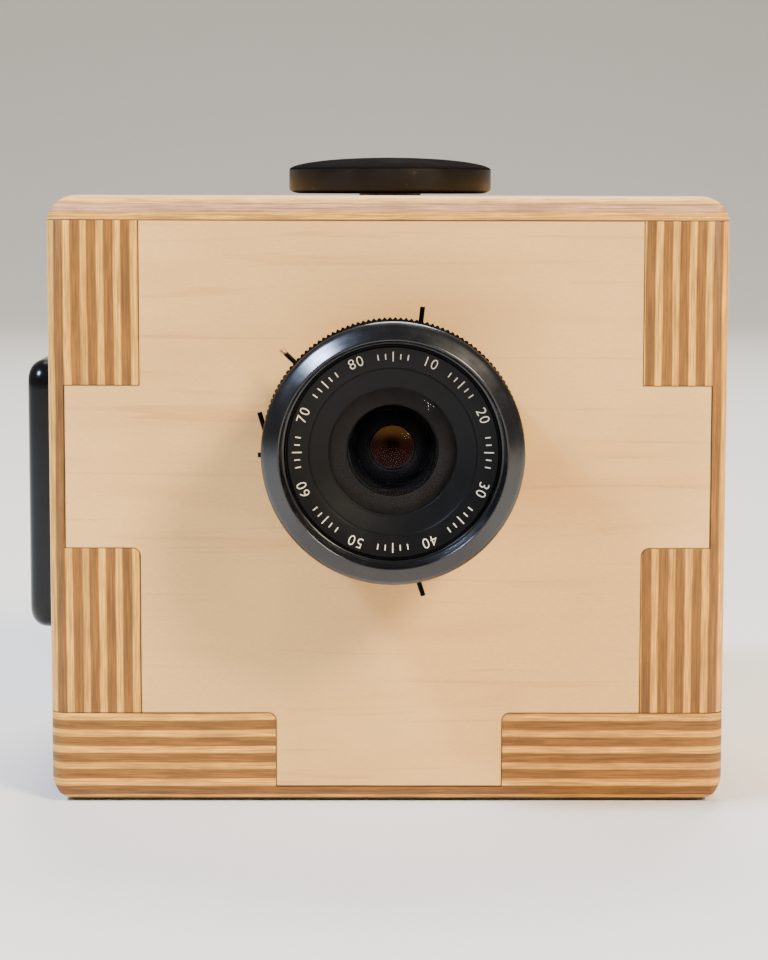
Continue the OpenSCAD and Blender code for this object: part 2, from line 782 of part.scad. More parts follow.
module iris_base() color("#6d6f73") at_lens() difference() {
    union() {
        lens_plug(base_u, base_rim_u + base_rim_t, skirt_r - 0.1);
        lens_plug(base_rim_u, base_rim_u + base_rim_t, tube_bore_r - seat_gap);
    }
    lens_plug(base_u - 1, base_u + base_t + 1, iris_r);
    lens_plug(base_u + base_t, base_rim_u + base_rim_t + 1, skirt_r - 0.7);
    for (k = [0:5]) rotate([0, 0, 60 * k]) translate([pivot_ring_r, 0, -base_u - base_t - 1])
        cylinder(r = pivot_pin_r + run_gap, h = base_t + 2, $fn = 24);
}

module sector(r_in, r_out, a0, a1) rotate([0, 0, a0]) rotate_extrude(angle = a1 - a0)
    translate([r_in, 0]) square([r_out - r_in, blade_t]);

// One blade lies in the front layer or the rear layer, with its pivot pin to the back
module blade(k) color("#45474b") at_lens() rotate([0, 0, 60 * (k - 1)]) {
    u = k % 2 == 1 ? front_layer_u : rear_layer_u;
    translate([0, 0, -u - blade_t]) {
        sector(blade_in_r, blade_out_r, -blade_lead, blade_arc);
        sector(blade_out_r - 0.1, pivot_ring_r + ear_r, 0, drive_pin_angle);
        for (p = [pivot, drive_pin]) translate(p) cylinder(r = ear_r, h = blade_t, $fn = 32);
    }
    translate([pivot_ring_r, 0, -base_u - base_t + 0.1])
        cylinder(r = pivot_pin_r, h = base_u + base_t - 0.1 - u - blade_t / 2, $fn = 24);
    translate([drive_pin[0], drive_pin[1], -u - blade_t / 2])
        cylinder(r = drive_pin_r, h = u + blade_t / 2 - iris_u - 0.1, $fn = 24);
}

// Sensor stack behind the lens mount

module sensor_chamber() color("#1c1c1e") difference() {
    front = y_front_in + plate_t + mount_ring_back;
    box([-chamber_half, front, lens_z - chamber_half],
        [chamber_half, sensor_board_y, lens_z + chamber_half]);
    rod_y(0, front - 1, sensor_board_y + 1, lens_z, chamber_bore_r);
    rod_y(0, front - 1, front + filter_glass_t + 0.4, lens_z, filter_glass_r + seat_gap);
    box([-sensor_w / 2 - seat_gap, sensor_y - sensor_lid_t - 0.8, lens_z - sensor_h / 2 - seat_gap],
        [sensor_w / 2 + seat_gap, sensor_board_y + 1, lens_z + sensor_h / 2 + seat_gap]);
}

module ir_filter() color("#7fb7b0", 0.6)
    rod_y(0, y_front_in + plate_t + mount_ring_back + 0.4,
        y_front_in + plate_t + mount_ring_back + 0.4 + filter_glass_t, lens_z, filter_glass_r);

module image_sensor() color("#3d3550") {
    difference() {
        box([-sensor_w / 2, sensor_y - 0.7, lens_z - sensor_h / 2],
            [sensor_w / 2, sensor_board_y, lens_z + sensor_h / 2]);
        box([-sensor_well_w / 2, sensor_y - 1, lens_z - sensor_well_h / 2],
            [sensor_well_w / 2, sensor_y, lens_z + sensor_well_h / 2]);
    }
    box([-sensor_w / 2 + 1, sensor_y - 0.7 - sensor_lid_t, lens_z - sensor_h / 2 + 1],
        [sensor_w / 2 - 1, sensor_y - 0.7, lens_z + sensor_h / 2 - 1]);
}

module sensor_posts() for (x = [-1, 1], z = [-1, 1])
    translate([x * sensor_post_at, 0, lens_z + z * sensor_post_at]) children();

module sensor_board() color("#1f5a3a") difference() {
    along_y(sensor_board_y, sensor_board_y + board_t) difference() {
        rounded_rect([-sensor_board_half, lens_z - sensor_board_half],
            [sensor_board_half, lens_z + sensor_board_half], 2);
        for (x = [-1, 1], z = [-1, 1])
            translate([x * sensor_post_at, lens_z + z * sensor_post_at]) circle(screw_shank_r + free_gap);
    }
}

// Posts with a threaded bore, and the pan-head screws that clamp each board to its posts

module post(len, r = post_r) difference() {
    cylinder(r = r, h = len);
    translate([0, 0, len - screw_depth]) cylinder(r = post_bore_r, h = screw_depth + 1);
}

module pan_screw() {
    translate([0, 0, -board_t - screw_depth + 0.3]) cylinder(r = screw_shank_r, h = board_t + screw_depth);
    cylinder(r = screw_head_r, h = screw_head_t);
}

module main_posts() for (x = [main_x0 + main_post_in, main_x1 - main_post_in],
    z = [main_z0 + main_post_in, main_z1 - main_post_in]) translate([x, 0, z]) children();

module io_posts() for (y = [-1, 1], z = [-1, 1])
    translate([0, y * io_post_y, port_z + z * io_post_z]) children();

module board_standoffs() color("#c9a35a") {
    sensor_posts() translate([0, y_front_in + plate_t, 0]) rotate([-90, 0, 0])
        post(sensor_board_y - y_front_in - plate_t);
    main_posts() translate([0, y_back_in, 0]) rotate([90, 0, 0]) post(y_back_in - main_y - board_t);
    io_posts() translate([plate_x - port_plate_t, 0, 0]) rotate([0, -90, 0])
        post(plate_x - port_plate_t - io_x - board_t, io_post_r);
}

module board_fasteners() color("#8d8f92") {
    sensor_posts() translate([0, sensor_board_y + board_t, 0]) rotate([-90, 0, 0]) pan_screw();
    main_posts() translate([0, main_y, 0]) rotate([90, 0, 0]) pan_screw();
    io_posts() translate([io_x, 0, 0]) rotate([0, -90, 0]) pan_screw();
    translate([0, dial_y, case_top]) difference() {
        cylinder(r = nut_r, h = nut_t, $fn = 6);
        translate([0, 0, -1]) cylinder(r = bushing_r + seat_gap, h = nut_t + 2);
    }
}

// Main board, its chips, cooling and cables

module main_board() color("#1f5a3a") difference() {
    box([main_x0, main_y, main_z0], [main_x1, main_y + board_t, main_z1]);
    main_posts() rod_y(0, main_y - 1, main_y + board_t + 1, 0, screw_shank_r + free_gap);
}

module board_chips() color("#222326") {
    box([fan_x - chip_half, main_y + board_t, fan_z - chip_half],
        [fan_x + chip_half, main_y + board_t + chip_t, fan_z + chip_half]);
    for (x = memory_x) box([x, main_y - chip_t, fan_z - memory_h / 2],
        [x + memory_w, main_y, fan_z + memory_h / 2]);
    box([-sensor_plug_half, main_y - plug_t, lens_z - plug_drop - plug_h],
        [sensor_plug_half, main_y, lens_z - plug_drop]);
    box([-screen_plug_half, main_y + board_t, screen_z - screen_plug_drop - plug_h / 2],
        [screen_plug_half, main_y + board_t + plug_t, screen_z - screen_plug_drop + plug_h / 2]);
    box([main_x0 + lead_plug_in, main_y - lead_plug_t, battery_z - lead_plug_half],
        [main_x0 + lead_plug_in + lead_plug_w, main_y, battery_z + lead_plug_half]);
}

module heatsink() color("#9fa3a8") {
    y0 = main_y + board_t + chip_t;
    pitch = (2 * sink_half - 1) / (sink_fins - 1);
    box([fan_x - sink_half, y0, fan_z - sink_half], [fan_x + sink_half, y0 + 1.5, fan_z + sink_half]);
    for (i = [0:sink_fins - 1])
        box([fan_x - sink_half + i * pitch, y0 + 1, fan_z - sink_half],
            [fan_x - sink_half + i * pitch + 1, y0 + sink_t, fan_z + sink_half]);
}

// A flat cable that follows points in y and z
module ribbon(points, half_w, t) along_x(-half_w, half_w)
    polygon(concat(points, [for (i = [len(points) - 1:-1:0]) points[i] + [0, t]]));

module inner_cables() color("#c98a3c") {
    sensor_back = sensor_board_y + board_t;
    sensor_plug_z = lens_z - plug_drop - plug_h / 2;
    ribbon([[sensor_back, sensor_plug_z - 2], [sensor_back + 4, sensor_plug_z - 2],
        [main_y - 6, sensor_plug_z], [main_y - plug_t, sensor_plug_z]], sensor_plug_half - 1, cable_t);
    screen_plug_z = screen_z - screen_plug_drop;
    ribbon([[main_y + board_t + plug_t, screen_plug_z], [main_y + board_t + 6, screen_plug_z],
        [y_back_in - 1, screen_z], [y_back - screen_pocket, screen_z]], screen_plug_half - 1, cable_t);
    for (z = contact_pitch * [-1, 1])
        rod_x(x_left_in + 1, main_x0 + lead_plug_in, battery_y + contact_pitch, battery_z + z, lead_r);
}

module fan_frame() color("#1c1c1e") {
    y0 = y_back_in - fan_t;
    difference() {
        box([fan_x - fan_half, y0, fan_z - fan_half], [fan_x + fan_half, y_back_in, fan_z + fan_half]);
        rod_y(fan_x, y0 - 1, y_back_in + 1, fan_z, fan_bore_r);
        wood_screw_set(seat_gap);
    }
    difference() {
        union() {
            rod_y(fan_x, y0, y0 + fan_base_t, fan_z, fan_hub_r);
            for (a = [30, 150, 270]) translate([fan_x, y0, fan_z]) rotate([0, a, 0])
                translate([0, 0, -0.9]) cube([fan_bore_r + 0.5, fan_base_t, 1.8]);
        }
        rod_y(fan_x, y0 - 1, y0 + fan_base_t + 1, fan_z, 0.75 + run_gap);
    }
}

module fan_rotor() color("#2a2a2d") {
    y0 = y_back_in - fan_t + fan_base_t + 0.2;
    rod_y(fan_x, y0, y_back_in - 0.5, fan_z, fan_hub_r);
    rod_y(fan_x, y0 - fan_base_t, y0 + 0.1, fan_z, 0.75);
    intersection() {
        rod_y(fan_x, y0, y_back_in - 0.5, fan_z, fan_blade_r);
        for (k = [0:fan_blades - 1]) translate([fan_x, (y0 + y_back_in - 0.5) / 2, fan_z])
            rotate([0, k * 360 / fan_blades, 0]) rotate([40, 0, 0])
                translate([fan_hub_r - 0.8, -2.6, -0.4]) cube([fan_blade_r, 5.2, 0.8]);
    }
}

module vent_grille() color("#232427") difference() {
    along_y(y_back - grille_t, y_back)
        rounded_rect([fan_x - grille_half, fan_z - grille_half],
            [fan_x + grille_half, fan_z + grille_half], 1);
    pitch = 2 * vent_r * 0.86 / grille_slots;
    for (i = [0:grille_slots - 1]) {
        z = (i - (grille_slots - 1) / 2) * pitch;
        half = sqrt(pow(vent_r - 0.8, 2) - z * z);
        box([fan_x - half, y_back - grille_t - 1, fan_z + z - pitch * 0.3],
            [fan_x + half, y_back + 1, fan_z + z + pitch * 0.3]);
    }
    wood_screw_set(seat_gap);
}

// Screen and controls in the back

module display_module() color("#2b2d30")
    box([-screen_w / 2, y_back - screen_pocket, screen_z - screen_h / 2],
        [screen_w / 2, y_back - screen_pocket + screen_t, screen_z + screen_h / 2]);

module display_glass() color("#0c0d10")
    along_y(y_back - screen_pocket + screen_t, y_back - screen_pocket + screen_t + glass_t)
        rounded_rect([-screen_w / 2, screen_z - screen_h / 2],
            [screen_w / 2, screen_z + screen_h / 2], 0.8);

module push_button(x, r) {
    top = y_back + button_out;
    rod_y(x, y_back - cap_h, top - button_edge, control_z, r);
    translate([x, top, control_z]) rotate([90, 0, 0])
        cylinder(r1 = r - button_edge, r2 = r, h = button_edge);
    rod_y(x, y_back_in + tact_t + tact_plunger_t + button_travel + 0.2, y_back - cap_h + 0.5,
        control_z, stem_r);
}

module record_button() color("#b3262a") push_button(record_x, record_r);

module menu_button() color("#26272a") push_button(menu_x, menu_r);

// Lies at the off end of its slot
module power_switch() color("#2a2b2e") {
    x = switch_x - switch_travel / 2;
    box([x - switch_knob_w / 2, y_back_in + switch_body_t + 0.2, control_z - switch_knob_h / 2],
        [x + switch_knob_w / 2, y_back + button_out, control_z + switch_knob_h / 2]);
    rod_y(x, y_back_in + switch_body_t - 1, y_back_in + switch_body_t + 0.5, control_z, lever_r);
}

module button_board() color("#1f5a3a") {
    box([record_x - record_r - 1, y_back_in - button_board_t, control_z - button_board_half],
        [x_right_in - seat_gap, y_back_in, control_z + button_board_half]);
    for (x = [record_x, menu_x]) {
        box([x - tact_half, y_back_in, control_z - tact_half],
            [x + tact_half, y_back_in + tact_t, control_z + tact_half]);
        rod_y(x, y_back_in + tact_t - 0.1, y_back_in + tact_t + tact_plunger_t, control_z, stem_r);
    }
    difference() {
        w = (switch_knob_w + switch_travel) / 2;
        box([switch_x - w, y_back_in, control_z - switch_slot_h / 2 + 0.1],
            [switch_x + w, y_back_in + switch_body_t, control_z + switch_slot_h / 2 - 0.1]);
        box([switch_x - switch_travel / 2 - lever_slot_half,
            y_back_in + switch_body_t - lever_slot_depth, control_z - lever_slot_half],
            [switch_x + switch_travel / 2 + lever_slot_half, y_back_in + switch_body_t + 1,
            control_z + lever_slot_half]);
    }
}

// Ports: a plate in the side's recess, a board behind it and the sockets between them

module port_plate() color("#b9bcc0") difference() {
    along_x(plate_x - port_plate_t, plate_x)
        rounded_rect([-port_w / 2 + 0.1, port_z - port_h / 2 + 0.1],
            [port_w / 2 - 0.1, port_z + port_h / 2 - 0.1], 1);
    video_body(0.15);
    audio_nose(0.15);
    power_nose(0.15);
    card_body(0.15);
    wood_screw_set(seat_gap);
}

module io_board() color("#1f5a3a") difference() {
    box([io_x, -port_w / 2 + port_ledge + 0.3, port_z - port_h / 2 + port_ledge + 0.3],
        [io_x + board_t, port_w / 2 - port_ledge - 0.3, port_z + port_h / 2 - port_ledge - 0.3]);
    io_posts() rod_x(io_x - 1, io_x + board_t + 1, 0, 0, screw_shank_r + free_gap);
}

io_front = io_x + board_t;

module video_outline(grow) translate([front_col_y, upper_row_z]) {
    w = video_half_w + grow;
    h = video_half_h + grow;
    polygon([[video_cut - w, -h], [w - video_cut, -h], [w, video_cut - h], [w, h], [-w, h],
        [-w, video_cut - h]]);
}

module video_body(grow) along_x(io_front, plate_x + video_out) video_outline(grow);

module video_socket() color("#a9acb0") {
    difference() {
        video_body(0);
        along_x(io_front + video_floor_t, plate_x + 2) video_outline(-video_wall);
    }
    box([io_front + video_floor_t - 1, front_col_y - video_tongue_half, upper_row_z - 0.1],
        [plate_x, front_col_y + video_tongue_half, upper_row_z + video_tongue_t - 0.1]);
}

module audio_nose(grow) rod_x(io_front + 1, plate_x + audio_out, back_col_y,
    lower_row_z, audio_nose_r + grow);

module audio_socket() color("#2a2b2e") difference() {
    union() {
        audio_nose(0);
        box([io_front, back_col_y - audio_block_half, lower_row_z - audio_block_half],
            [plate_x - port_plate_t, back_col_y + audio_block_half,
                lower_row_z + audio_block_half]);
    }
    rod_x(plate_x + audio_out - audio_len, plate_x + 2, back_col_y, lower_row_z, audio_r);
}

module power_nose(grow) rod_x(io_front + 1, plate_x + power_out, back_col_y,
    upper_row_z, power_nose_r + grow);

module power_socket() color("#2a2b2e") {
    difference() {
        union() {
            power_nose(0);
            box([io_front, back_col_y - power_block_half, upper_row_z - power_block_half],
                [plate_x - port_plate_t, back_col_y + power_block_half,
                    upper_row_z + power_block_half]);
        }
        rod_x(plate_x - power_bore_len, plate_x + 2, back_col_y, upper_row_z, power_bore_r);
    }
    rod_x(plate_x - power_bore_len - 0.5, plate_x - 0.6, back_col_y, upper_row_z, power_pin_r);
}

module card_body(grow) box([io_front, front_col_y - card_shell_half_w - grow,
    lower_row_z - card_shell_half_h - grow], [plate_x - 0.1 + 2 * grow,
    front_col_y + card_shell_half_w + grow, lower_row_z + card_shell_half_h + grow]);

module card_socket() color("#a9acb0") difference() {
    card_body(0);
    box([plate_x + card_out - card_l - 2 * card_gap, front_col_y - card_w / 2 - card_gap,
        lower_row_z - card_t / 2 - card_gap],
        [plate_x + 1, front_col_y + card_w / 2 + card_gap, lower_row_z + card_t / 2 + card_gap]);
}

module memory_card() color("#1d1e22")
    translate([0, front_col_y, lower_row_z - card_t / 2]) linear_extrude(card_t)
        translate([plate_x + card_out - card_l, 0]) polygon([[0, card_step - card_w / 2],
            [card_step_at[0], card_step - card_w / 2], [card_step_at[1], -card_w / 2],
            [card_l, -card_w / 2], [card_l, card_w / 2], [0, card_w / 2]]);

// Battery

module battery_pack() color("#141416")
    soft_box([battery_x, battery_y - battery_l / 2, battery_z - battery_h / 2],
        [battery_x + battery_t, battery_y + battery_l / 2, battery_z + battery_h / 2],
        battery_edge_r);

module battery_contacts() color("#c9a35a") {
    box([bay_x, battery_y - contact_half, battery_z - contact_half],
        [x_left_in + 1, battery_y + contact_half, battery_z + contact_half]);
    for (y = contact_pitch * [-1, 1], z = contact_pitch * [-1, 1])
        rod_x(bay_x - 0.2, bay_x + 0.5, battery_y + y, battery_z + z, contact_pin_r);
}

// Control dial and its encoder

module dial_knob() color("#1a1918") translate([0, dial_y, dial_z]) {
    top = dial_base_h + dial_side_h + dial_dome_h;
    rotate_extrude() polygon(concat(
        [[shaft_r + shaft_fit, dial_recess_h], [dial_recess_r, dial_recess_h], [dial_recess_r, 0],
            [dial_base_r, 0]],
        [for (a = [15:15:90]) [dial_base_r + (dial_r - dial_base_r) * sin(a),
            dial_base_h * (1 - cos(a))]],
        [for (a = [0:6:84]) [dial_r * cos(a), dial_base_h + dial_side_h + dial_dome_h * sin(a)]],
        [[0, top], [0, top - dial_roof], [shaft_r + shaft_fit, top - dial_roof]]));
}

module encoder_shaft() color("#a9acb0")
    translate([0, dial_y, case_h - encoder_h + shaft_foot])
        cylinder(r = shaft_r, h = dial_z + dial_base_h + dial_side_h + dial_dome_h - dial_roof
            - 0.05 - case_h + encoder_h - shaft_foot);

module encoder_body() color("#8d8f92") translate([0, dial_y, 0]) difference() {
    union() {
        box([-encoder_half, -encoder_half, case_h - encoder_h], [encoder_half, encoder_half, case_h]);
        translate([0, 0, case_h - 1]) cylinder(r = bushing_r, h = bushing_top - case_h + 1);
    }
    translate([0, 0, case_h - encoder_h + 1]) cylinder(r = shaft_r + run_gap, h = 30);
}

front_panel();
back_panel();
battery_side_panel();
port_side_panel();
bottom_panel();
lid_panel();
tripod_insert();
wood_screws();
lens_mount_plate();
c_mount_ring();
lens_barrel();
focus_ring();
focus_ring_pins();
aperture_ring();
aperture_ring_pins();
inner_tube();
front_bezel();
scale_ring();
front_element();
rear_cell();
rear_elements();
iris_drive_ring();
iris_base();
blade(1);  // iris_blade_1
blade(2);  // iris_blade_2
blade(3);  // iris_blade_3
blade(4);  // iris_blade_4
blade(5);  // iris_blade_5
blade(6);  // iris_blade_6
sensor_chamber();
ir_filter();
image_sensor();
sensor_board();
board_standoffs();
board_fasteners();
main_board();
board_chips();
heatsink();
inner_cables();
fan_frame();
fan_rotor();
vent_grille();
display_module();
display_glass();
record_button();
menu_button();
power_switch();
button_board();
port_plate();
io_board();
video_socket();
audio_socket();
power_socket();
card_socket();
memory_card();
battery_pack();
battery_contacts();
dial_knob();
encoder_shaft();
encoder_body();
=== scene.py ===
# %% [markdown]
# # A small cinema camera in a birch plywood case
#
# The real object is a home-made case of finger-jointed plywood with a short wide lens, a round
# control dial and a battery pack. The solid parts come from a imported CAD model. This lesson keeps
# the parts whose shape is already right, gives every one of them a finish worked out from its real
# material, and builds finer surfaces for the parts that the eye rests on.

import math

import bmesh
import bpy
import numpy as np
from mathutils import Matrix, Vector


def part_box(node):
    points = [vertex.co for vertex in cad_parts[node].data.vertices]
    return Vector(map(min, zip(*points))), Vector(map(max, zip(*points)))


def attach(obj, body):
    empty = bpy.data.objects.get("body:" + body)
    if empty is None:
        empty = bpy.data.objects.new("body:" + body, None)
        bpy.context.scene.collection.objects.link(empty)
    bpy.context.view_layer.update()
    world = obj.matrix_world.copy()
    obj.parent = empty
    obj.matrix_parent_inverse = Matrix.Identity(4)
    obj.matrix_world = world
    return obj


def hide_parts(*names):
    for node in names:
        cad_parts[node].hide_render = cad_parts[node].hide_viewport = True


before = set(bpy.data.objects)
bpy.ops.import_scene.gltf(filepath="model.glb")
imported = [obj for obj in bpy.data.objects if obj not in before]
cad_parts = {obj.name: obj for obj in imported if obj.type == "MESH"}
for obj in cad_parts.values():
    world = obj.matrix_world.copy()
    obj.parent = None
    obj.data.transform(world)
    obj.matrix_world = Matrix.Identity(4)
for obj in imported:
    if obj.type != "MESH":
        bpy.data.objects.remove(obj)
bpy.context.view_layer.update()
MM = 0.001


# %% Measure the parts in millimetres
def span(node):
    """Lowest and highest corner of a CAD node, as two arrays in millimetres."""
    low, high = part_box(node)
    return np.array(low) / MM, np.array(high) / MM


def middle(node):
    """The middle of a node's box is the mean of its two corners."""
    low, high = span(node)
    return (low + high) / 2


bezel_low, bezel_high = span("front_bezel")
lip_y = bezel_low[1]
lens_z = middle("front_bezel")[2]
case_top = span("lid_panel")[1][2]
lid_bottom = span("lid_panel")[0][2]
y_front, y_back = span("front_panel")[0][1], span("back_panel")[1][1]
print("lens axis height", round(lens_z, 2), "case top", round(case_top, 2))

# %% [markdown]
# ## The camera that takes the picture
#
# The viewpoint was found by fitting some forty measured points of the case. The same place, aim
# and focal length give the same perspective, so the picture is a fair test of the shapes. The aim
# is built from three angles: yaw to the side, pitch down and a little roll.

# %% Place the viewing camera
PHOTO_WIDTH_PX = 768
FOCAL_PX = 2632.6
EYE_MM = (-4.28, -468.30, 98.93)
YAW, PITCH, ROLL = 0.0071, 0.1061, 0.0021

forward = np.array([math.sin(YAW) * math.cos(PITCH), math.cos(YAW) * math.cos(PITCH),
                    -math.sin(PITCH)])
level = np.array([math.cos(YAW), -math.sin(YAW), 0.0])
above = np.cross(level, forward)
right = math.cos(ROLL) * level + math.sin(ROLL) * above
up = -math.sin(ROLL) * level + math.cos(ROLL) * above

eye_data = bpy.data.cameras.new("viewing_camera")
eye_data.sensor_fit = "HORIZONTAL"
eye_data.sensor_width = 36.0
eye_data.lens = FOCAL_PX * eye_data.sensor_width / PHOTO_WIDTH_PX
eye_data.clip_start = 0.01
eye = bpy.data.objects.new("viewing_camera", eye_data)
bpy.context.scene.collection.objects.link(eye)
turn = Matrix([[*row] for row in np.stack([right, up, -forward], axis=1)])
eye.matrix_world = Matrix.Translation([v * MM for v in EYE_MM]) @ turn.to_4x4()
bpy.context.scene.camera = eye
print("focal length", round(eye_data.lens, 2), "mm")

# %% [markdown]
# ## Colours, nodes and materials
#
# Colours are written as web hex values, which are sRGB, while a shader works with linear light.
# One function does the change. One more adds a node, sets its values and links its inputs, and
# every material below is built with it alone. Object coordinates are in metres, so a pattern is
# scaled from its real size in millimetres.


# %% Colour and node helpers
def linear(hex_colour):
    """Each sRGB channel c becomes c/12.92 when small, else ((c + 0.055) / 1.055) to the 2.4."""
    c = np.array([int(hex_colour[i:i + 2], 16) for i in (1, 3, 5)]) / 255
    return tuple(np.where(c <= 0.04045, c / 12.92, ((c + 0.055) / 1.055) ** 2.4)) + (1.0,)


def add_node(tree, kind, inputs=None, **settings):
    """Adds one shader node. An input's value may be a number, a colour, a socket or a node,
    and a node stands for its first output."""
    node = tree.nodes.new("ShaderNode" + kind)
    for name, value in settings.items():
        setattr(node, name, value)
    for key, value in (inputs or {}).items():
        if isinstance(value, bpy.types.Node):
            value = value.outputs[0]
        if isinstance(value, bpy.types.NodeSocket):
            tree.links.new(value, node.inputs[key])
        else:
            node.inputs[key].default_value = value
    return node


def start_material(name, **sockets):
    """A new material with one Principled shader whose constant sockets are set by name."""
    material = bpy.data.materials.new(name)
    material.use_nodes = True
    shader = material.node_tree.nodes["Principled BSDF"]
    for key, value in sockets.items():
        shader.inputs[key.replace("_", " ")].default_value = value
    return material, material.node_tree, shader


def place_mm(tree):
    """Object coordinates in millimetres."""
    where = add_node(tree, "TexCoord")
    return add_node(tree, "VectorMath", {0: where.outputs["Object"], 3: 1 / MM}, operation="SCALE")


print("black is", linear("#000000"), "and white is", linear("#FFFFFF"))

# %% [markdown]
# ## Birch plywood
#
# Plywood is made of thin birch sheets glued with the grain of each crossing the next. On a cut
# edge half of them show their end grain, which is darker. The board's own depth says which sheet
# a point lies in, so one material per board paints the stripes wherever a cut or a rounded edge
# reaches them, and a face shows pale veneer with long faint figure. Each sheet is 15 mm / 11.

# %% The plywood material
BOARD_MM, SHEET_COUNT, LID_SHEETS = 15, 11, 3
SHEET_MM = BOARD_MM / SHEET_COUNT
VENEER_PALE, VENEER_WARM = linear("#E5B065"), linear("#C48644")
SHEET_LIGHT, SHEET_DARK = linear("#D29532"), linear("#805009")
LID_DARK = linear("#C08C5E")
GLUE = linear("#54300F")
# Any crevice narrower than CREVICE_MM gets painted shade, and SKIN starts the first sheet just off
# the board
CREVICE_MM, SKIN = 0.9, 0.002


def stretched(tree, here, axis, on_axis, across, **noise):
    """Noise on coordinates that are scaled by on_axis along one axis and by across on the rest."""
    scale = [across] * 3
    scale[axis] = on_axis
    moved = add_node(tree, "VectorMath", {0: here, 1: scale}, operation="MULTIPLY")
    return add_node(tree, "TexNoise", {"Vector": moved, "Scale": 1.0, **noise})


def ramp(tree, value, low, high, to_low, to_high):
    """Maps low..high smoothly to to_low..to_high."""
    return add_node(tree, "MapRange", {"Value": value, "From Min": low, "From Max": high,
                                       "To Min": to_low, "To Max": to_high},
                    interpolation_type="SMOOTHSTEP")


def times(tree, *values):
    """The product of several numbers."""
    product = values[0]
    for value in values[1:]:
        product = add_node(tree, "Math", {0: product, 1: value}, operation="MULTIPLY")
    return product


